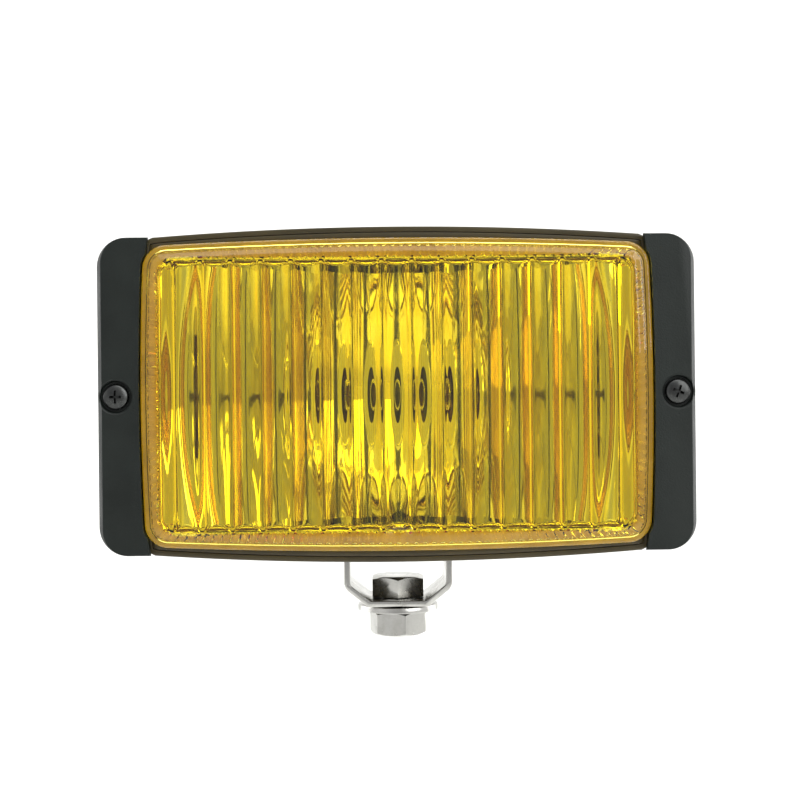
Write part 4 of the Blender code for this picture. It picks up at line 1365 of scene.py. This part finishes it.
@dataclass
class BulbUnit:
    """Bulb with a black tip on its flange, with wire clip, holder ring and lead."""

    glass_wall: float = 0.8 * MM
    tip_depth: float = 1.6 * MM  # how far the tip's black coat reaches back

    def build(self) -> None:
        """Make the bulb's glass and dress the CAD pieces."""
        self.build_glass()
        for node, finish in (
            ("bulb_filament", Finishes.TUNGSTEN), ("bulb_base", Finishes.BULB_BASE_PAINTED_SHADE),
            ("bulb_holder", Finishes.PLAIN_STEEL), ("bulb_clip", Finishes.ZINC),
            ("bulb_lead", Finishes.RUBBER), ("lead_terminal", Finishes.NYLON),
            ("insert_nut_left", Finishes.BRASS), ("insert_nut_right", Finishes.BRASS),
            ("pivot_bush", Finishes.PLAIN_STEEL),
        ):
            Bench.dress_node(node, finish)

    def build_glass(self) -> None:
        """Spin the quartz tube with its rounded tip, and coat the tip black."""
        low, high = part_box("bulb_glass")
        centre = middle("bulb_glass")
        outer_r = (high.x - low.x) / 2
        inner_r = outer_r - self.glass_wall
        turns = [math.radians(a) for a in range(0, 91, 10)]
        outer = [(outer_r * math.sin(a), -low.y - outer_r * (1 - math.cos(a))) for a in turns]
        inner_top = -low.y - self.glass_wall
        inner = [(inner_r * math.sin(a), inner_top - inner_r * (1 - math.cos(a))) for a in turns]
        profile = outer + [(outer_r, -high.y), (inner_r, -high.y)] + list(reversed(inner))
        glass = Bench.spin("bulb_quartz_tube", profile, 48)
        Bench.move(glass, Matrix.Translation((centre.x, 0, centre.z)) @ quarter_turn("X"))
        Bench.smooth(glass)
        Bench.dress(glass, Finishes.QUARTZ, Body.LAMP, "bulb_glass")
        glass.data.materials.append(Finishes.TIP_COAT.material())
        for face in glass.data.polygons:
            outside = face.normal.dot(face.center - Vector((centre.x, low.y + outer_r, centre.z))) > 0
            face.material_index = int(outside and face.center.y < low.y + self.tip_depth)


@dataclass
class RearFittings:
    """Rubber grommet with a stepped collar for the supply cable, and the mushroom-shaped breather."""

    steps: int = 56
    wall_y: float = 20.5 * MM  # outer face of the rear wall

    def build(self) -> None:
        """Spin both fittings and set them in the rear wall."""
        self.fitting("cable_grommet", "grommet_rubber", 4.0 * MM, 2.4 * MM)
        self.fitting("breather_cap", "breather_rubber", 2.6 * MM, None)

    def fitting(self, node: str, name: str, neck: float, bore: float | None) -> None:
        """Spin one fitting.

        Args:
            node: CAD node that it replaces.
            name: Name of the piece.
            neck: Radius where it passes through the wall.
            bore: Radius of its hole, if it has one.
        """
        low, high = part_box(node)
        centre = middle(node)
        head_r, out, wall_y, inside = (high.x - low.x) / 2, high.y, self.wall_y, low.y
        if bore:
            rise = out - wall_y - 0.3 * MM
            profile = [(bore, out), (bore + 0.9 * MM, out), (bore + 1.25 * MM, out - 0.3 * MM),
                       (bore + 1.5 * MM, out - 0.55 * rise), (head_r - 0.8 * MM, out - 0.62 * rise),
                       (head_r - 0.25 * MM, out - 0.7 * rise), (head_r, out - 0.82 * rise)]
        else:
            edge_y = wall_y + 1.2 * MM
            turns = [math.radians(a) for a in range(15, 91, 15)]
            profile = [(0, out)]
            profile += [(head_r * math.sin(a), edge_y + (out - edge_y) * math.cos(a)) for a in turns]
        profile += [(head_r, wall_y + 0.5 * MM), (head_r - 0.2 * MM, wall_y + 0.3 * MM),
                    (neck, wall_y + 0.3 * MM), (neck, inside + 1.3 * MM),
                    (neck + 0.9 * MM, inside + 1.2 * MM), (neck + 0.5 * MM, inside)]
        profile.append((bore, inside) if bore else (0, inside))
        piece = Bench.spin(name, profile, self.steps, ring=bool(bore))
        Bench.move(piece, Matrix.Translation((centre.x, 0, centre.z)) @ quarter_turn("X", -1))
        Bench.smooth(piece, 35.0)
        Bench.dress(piece, Finishes.RUBBER, Body.LAMP, node)


# Bracket and fasteners -----------------------------------------------------------------------------

@dataclass
class Fastener:
    """Hexagon nut or bolt head with its corners turned down to a cone, along Z."""

    flats: float
    chamfer_angle: float = 28.0
    face_share: float = 0.47  # radius of the flat face, as a share of the width across flats

    def hexagon(self, name: str, low: float, high: float, turn: float, both: bool) -> bpy.types.Object:
        """Make the chamfered hexagon.

        Args:
            name: Name of the object.
            low: Height of its lower face.
            high: Height of its upper face.
            turn: Angle about Z of its first corner, in degrees.
            both: Whether both faces are chamfered, or only the upper one.

        Returns:
            The new object.
        """
        corner = self.flats / math.sqrt(3)
        Bench.deselect()
        bpy.ops.mesh.primitive_cylinder_add(vertices=6, radius=corner, depth=high - low,
                                            location=(0, 0, (low + high) / 2))
        made = Bench.named(name)
        Bench.move(made, Matrix.Rotation(math.radians(turn - 90), 4, "Z"))
        Bench.bevel(made, 0.12 * MM, 2, 50)
        face, beyond = self.face_share * self.flats, 1.15 * corner
        drop = (beyond - face) * math.tan(math.radians(self.chamfer_angle))
        profile = [(0, high), (face, high), (beyond, high - drop)]
        profile += [(beyond, low + drop), (face, low), (0, low)] if both else [(beyond, low), (0, low)]
        drum = Bench.spin("drum", profile, 96)
        Bench.boolean(made, drum, "INTERSECT")
        return made

    @staticmethod
    def threaded(name: str, radius: float, top: float, end: float, pitch: float) -> bpy.types.Object:
        """Rod with thread grooves down to a chamfered end.

        Args:
            name: Name of the object.
            radius: Radius over the threads.
            top: Height where the rod starts.
            end: Height of its tip.
            pitch: Distance between threads.

        Returns:
            The new object.
        """
        core = radius - 0.55 * pitch
        profile = [(0, top), (core, top)]
        for i in range(int((top - end - pitch) / pitch)):
            z = top - i * pitch
            profile += [(core, z - 0.1 * pitch), (radius, z - 0.45 * pitch), (radius, z - 0.58 * pitch),
                        (core, z - 0.92 * pitch)]
        profile += [(core, end + 0.3 * pitch), (core - 0.3 * pitch, end), (0, end)]
        return Bench.spin(name, profile, 64)


@dataclass
class BracketUnit:
    """U strap with its cross bolt and mounting bolt."""

    strap: float = 2.0 * MM
    foot_x: float = 9.5 * MM
    slope_top_z: float = 6.8 * MM
    bend: float = 3.0 * MM
    arm_end_r: float = 6.0 * MM
    taper_z: float = 15.0 * MM  # where the arms start to taper
    bend_steps: int = 8
    edge_round: float = 0.35 * MM
    foot_hole_r: float = 5.2 * MM
    pivot_hole_r: float = 3.3 * MM
    head_turn: float = 30.0  # of the mounting bolt's head, in degrees
    nut_turn: float = -16.0  # and of its nut

    def build(self) -> None:
        """Make the strap and every fastener."""
        self.build_strap()
        self.build_mount()
        self.build_pivot()

    def centre_line(self, arm_x: float, top: float) -> list[tuple[Vector, Vector]]:
        """Bent centre line of the strap.

        Args:
            arm_x: Distance of an arm's centre line from the middle.
            top: Height of the arms' ends.

        Returns:
            Pairs of a point and the direction across the strap there.
        """
        half = self.strap / 2
        corners = [Vector(c) for c in ((-arm_x, top), (-arm_x, self.slope_top_z), (-self.foot_x, half),
                                       (self.foot_x, half), (arm_x, self.slope_top_z), (arm_x, top))]
        pairs = []
        for before, corner, after in zip(corners, corners[1:], corners[2:]):
            inward, outward = (corner - before).normalized(), (after - corner).normalized()
            turn = inward.angle_signed(outward)
            side = -math.copysign(1.0, turn)
            normal = Vector((-inward.y, inward.x))
            pivot = corner - inward * self.bend * math.tan(abs(turn) / 2) + normal * self.bend * side
            for i in range(self.bend_steps + 1):
                now = Matrix.Rotation(-turn * i / self.bend_steps, 2) @ normal
                pairs.append((pivot - now * self.bend * side, now))
        return [(corners[0], Vector((1.0, 0.0)))] + pairs + [(corners[-1], Vector((-1.0, 0.0)))]

    def build_strap(self) -> None:
        """Bend the strip, cut the arms' taper and drill the holes."""
        low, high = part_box("bracket")
        pivot = middle("pivot_bolt")
        half, arm_x = self.strap / 2, high.x - self.strap / 2
        path = self.centre_line(arm_x, high.z + MM)
        section = [point + normal * half for point, normal in path]
        section += [point - normal * half for point, normal in reversed(path)]
        outline = [Vector((x, low.y, z)) for x, z in section]
        strap = Bench.slab("bracket_strap", outline, Vector((0, high.y - low.y, 0)))
        half_y = (high.y - low.y) / 2
        shape = [(half_y + MM, -MM), (half_y + MM, self.taper_z)]
        shape = [(-y, z) for y, z in reversed(shape)] + shape
        shape += arc(0.0, pivot.z, self.arm_end_r, 0, 180, 8)
        outline = [Vector((-2 * arm_x, y, z)) for y, z in shape]
        side = Bench.slab("side_shape", outline, Vector((4 * arm_x, 0, 0)))
        Bench.boolean(strap, side, "INTERSECT")
        Bench.bevel(strap, self.edge_round, 3, 50)
        Bench.boolean(strap, drill(self.foot_hole_r), "DIFFERENCE")
        cross = drill(self.pivot_hole_r, 100 * MM)
        Bench.move(cross, Matrix.Translation((0, 0, pivot.z)) @ quarter_turn("Y"))
        Bench.boolean(strap, cross, "DIFFERENCE")
        Bench.smooth(strap)
        Bench.dress(strap, Finishes.ZINC, Body.BRACKET, "bracket")

    def build_mount(self) -> None:
        """Make the bolt through the foot, the washer and the nut."""
        low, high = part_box("mount_bolt")
        under_head = self.strap + 0.3 * MM
        hexagon = Fastener(17.0 * MM)
        bolt = hexagon.hexagon("mount_bolt_m10", under_head, high.z, self.head_turn, False)
        rod = Fastener.threaded("rod", 4.9 * MM, under_head + MM, low.z, 1.5 * MM)
        Bench.boolean(bolt, rod, "UNION")
        Bench.smooth(bolt, 30.0)
        Bench.dress(bolt, Finishes.ZINC, Body.BRACKET, "mount_bolt")
        low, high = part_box("mount_nut")
        nut = hexagon.hexagon("mount_nut_m10", low.z, high.z, self.nut_turn, True)
        Bench.boolean(nut, drill(5.15 * MM, 20 * MM), "DIFFERENCE")
        Bench.bevel(nut, 0.3 * MM, 2, 70)
        Bench.smooth(nut, 30.0)
        Bench.dress(nut, Finishes.ZINC, Body.MOUNT, "mount_nut")
        self.washer("mount_washer", "mount_washer_m10", Body.MOUNT, "Z", self.foot_hole_r)

    def build_pivot(self) -> None:
        """Make the cross bolt, its washers and its nut."""
        across = Matrix.Translation((0, 0, middle("pivot_bolt").z)) @ quarter_turn("Y")
        low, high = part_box("pivot_bolt")
        hexagon = Fastener(10.0 * MM)
        bolt = hexagon.hexagon("pivot_bolt_m6", high.x - 4.0 * MM, high.x, 0, False)
        rod = Fastener.threaded("rod", 3.0 * MM, high.x - 3.0 * MM, low.x, 1.0 * MM)
        Bench.boolean(bolt, rod, "UNION")
        low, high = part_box("pivot_nut")
        nut = hexagon.hexagon("pivot_nut_m6", low.x, high.x, 0, True)
        bore_r, past = 3.1 * MM, -40 * MM
        bore = Bench.spin("bore", [(0, 0), (bore_r, 0), (bore_r, past), (0, past)], 64)
        Bench.boolean(nut, bore, "DIFFERENCE")
        for piece, node in ((bolt, "pivot_bolt"), (nut, "pivot_nut")):
            Bench.move(piece, across)
            Bench.smooth(piece, 30.0)
            Bench.dress(piece, Finishes.ZINC, Body.BRACKET, node)
        for side in Side:
            node = f"pivot_washer_{side.label}"
            self.washer(node, f"{node}_m6", Body.BRACKET, "X", self.pivot_hole_r)

    def washer(self, node: str, name: str, body: Body, axis: str, bore: float) -> None:
        """Spin a stamped washer with one rolled-over edge and one sharper one.

        Args:
            node: CAD node that it replaces.
            name: Name of the piece.
            body: Body that it rides on.
            axis: Axis that it lies across, X or Z.
            bore: Radius of its hole.
        """
        low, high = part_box(node)
        centre = middle(node)
        index = "XYZ".index(axis)
        half = (high[index] - low[index]) / 2
        radius = (high.y - low.y) / 2
        r = 0.3 * half
        profile = [(radius - 2 * r, half), (radius - 0.6 * r, half - 0.3 * r), (radius, half - 1.4 * r),
                   (radius, 0.6 * r - half), (radius - 0.6 * r, -half), (bore + 0.6 * r, -half),
                   (bore, 0.6 * r - half), (bore, half - r), (bore + r, half)]
        piece = Bench.spin(name, profile, 96, ring=True)
        turn = quarter_turn("Y") if axis == "X" else Matrix.Identity(4)
        Bench.move(piece, Matrix.Translation(centre) @ turn)
        Bench.smooth(piece, 30.0)
        Bench.dress(piece, Finishes.ZINC, body, node)


# Studio --------------------------------------------------------------------------------------------

@dataclass
class Studio:
    """White sweep, soft lights and the camera in front of the lamp."""

    distance: float = 0.430  # from the camera to the lens
    view_width: float = 0.2429  # what the camera sees across at the lens
    azimuth: float = -1.0  # degrees that the camera stands to one side
    roll: float = 0.6  # degrees
    aim_x: float = 0.6 * MM  # point that the camera faces, from the lens's centre
    aim_z: float = -1.8 * MM
    floor_z: float = -0.35
    floor_front: float = -1.8
    curve_y: float = 1.2  # where the paper starts to curve up
    curve_r: float = 0.8
    paper_top: float = 4.0
    dark_side: float = 0.58  # strength of the surroundings behind the camera
    surround: float = 1.08  # and elsewhere

    def build(self) -> None:
        """Set up everything that isn't part of the lamp."""
        self.sweep()
        self.world()
        self.softbox("key", (0.75, -0.75, 0.55), 0.9, 0.9, 9.0)
        self.softbox("side", (1.0, 0.45, 0.15), 0.7, 0.9, 5.5)
        self.softbox("fill", (-1.0, 0.35, 0.2), 0.9, 0.9, 4.5)
        self.softbox("top", (0.0, -0.3, 1.0), 1.2, 0.7, 5.0)
        self.softbox("backdrop", (0.0, 0.6, 1.6), 1.5, 0.8, 16.0, Vector((0.0, 1.8, 0.0)))
        self.camera()

    def sweep(self) -> None:
        """Pale floor that curves up into a backdrop."""
        curve = arc(self.curve_y, self.floor_z + self.curve_r, self.curve_r, -90, 0, 6)
        profile = [(self.floor_front, self.floor_z), *curve, (self.curve_y + self.curve_r, self.paper_top)]
        profile += [(y + 0.02, z - 0.02) for y, z in reversed(profile)]
        paper = Bench.slab("studio_sweep", [Vector((-4.0, y, z)) for y, z in profile], Vector((8.0, 0, 0)))
        Bench.smooth(paper)
        finish = Finish("studio_paper", "", "#f3f3f1", "#f1f1ef", 0.9, 0.95, specular=0.1,
                        grain_depth_mm=0.0, patch_mm=400.0)
        paper.data.materials.append(finish.material())

    def world(self) -> None:
        """White surroundings that fall off behind the camera, as a studio's unlit side does."""
        world = bpy.data.worlds.new("studio_world")
        bpy.context.scene.world = world
        world.use_nodes = True
        tree = world.node_tree
        place = add_node(tree, "ShaderNodeTexCoord").outputs["Generated"]
        depth = add_node(tree, "ShaderNodeSeparateXYZ", {}, {"Vector": place}).outputs["Y"]
        fall = {"From Min": -0.98, "From Max": -0.75, "To Min": self.dark_side, "To Max": self.surround}
        strength = add_node(tree, "ShaderNodeMapRange", fall, {"Value": depth}).outputs["Result"]
        background = tree.nodes["Background"]
        background.inputs["Color"].default_value = (1.0, 1.0, 1.0, 1.0)
        tree.links.new(strength, background.inputs["Strength"])

    def softbox(self, name: str, place: tuple[float, float, float], width: float, height: float,
                power: float, target: Vector | None = None) -> None:
        """Add a rectangular soft light.

        Args:
            name: Name of the light.
            place: Where it hangs.
            width: Its width.
            height: Its height.
            power: Its power in watts.
            target: Point that it faces; the lamp if there is none.
        """
        data = bpy.data.lights.new(name, "AREA")
        data.shape = "RECTANGLE"
        data.size, data.size_y, data.energy = width, height, power
        lamp = bpy.data.objects.new(name, data)
        lamp.location = place
        facing = (target or middle("lens")) - Vector(place)
        lamp.rotation_euler = facing.to_track_quat("-Z", "Y").to_euler()
        bpy.context.scene.collection.objects.link(lamp)

    def camera(self) -> None:
        """Camera straight in front of the lens, rolled a little."""
        data = bpy.data.cameras.new("camera")
        data.sensor_width = 36.0
        data.lens = 36.0 * self.distance / self.view_width
        data.clip_start = 0.01
        camera = bpy.data.objects.new("camera", data)
        aim = Vector((middle("lens").x + self.aim_x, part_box("lens")[0].y, middle("lens").z + self.aim_z))
        turn = math.radians(self.azimuth)
        camera.location = aim + self.distance * Vector((math.sin(turn), -math.cos(turn), 0))
        facing = Matrix.Rotation(turn, 4, "Z") @ quarter_turn("X")
        camera.rotation_euler = (facing @ Matrix.Rotation(math.radians(-self.roll), 4, "Z")).to_euler()
        bpy.context.scene.collection.objects.link(camera)
        bpy.context.scene.camera = camera


def main() -> None:
    """Build the lamp and its studio; each finished piece logs its number of faces."""
    logging.basicConfig(level=logging.INFO, format="%(name)s %(message)s")
    bpy.context.scene.view_settings.view_transform = "Standard"
    lens, reflector = Lens(), Reflector()
    lens.build()
    reflector.build()
    Seals().build(lens, reflector)
    Housing().build()
    EndCaps().build(lens)
    BulbUnit().build()
    RearFittings().build()
    BracketUnit().build()
    Studio().build()
    Bench.deselect()


if __name__ == "__main__":
    main()
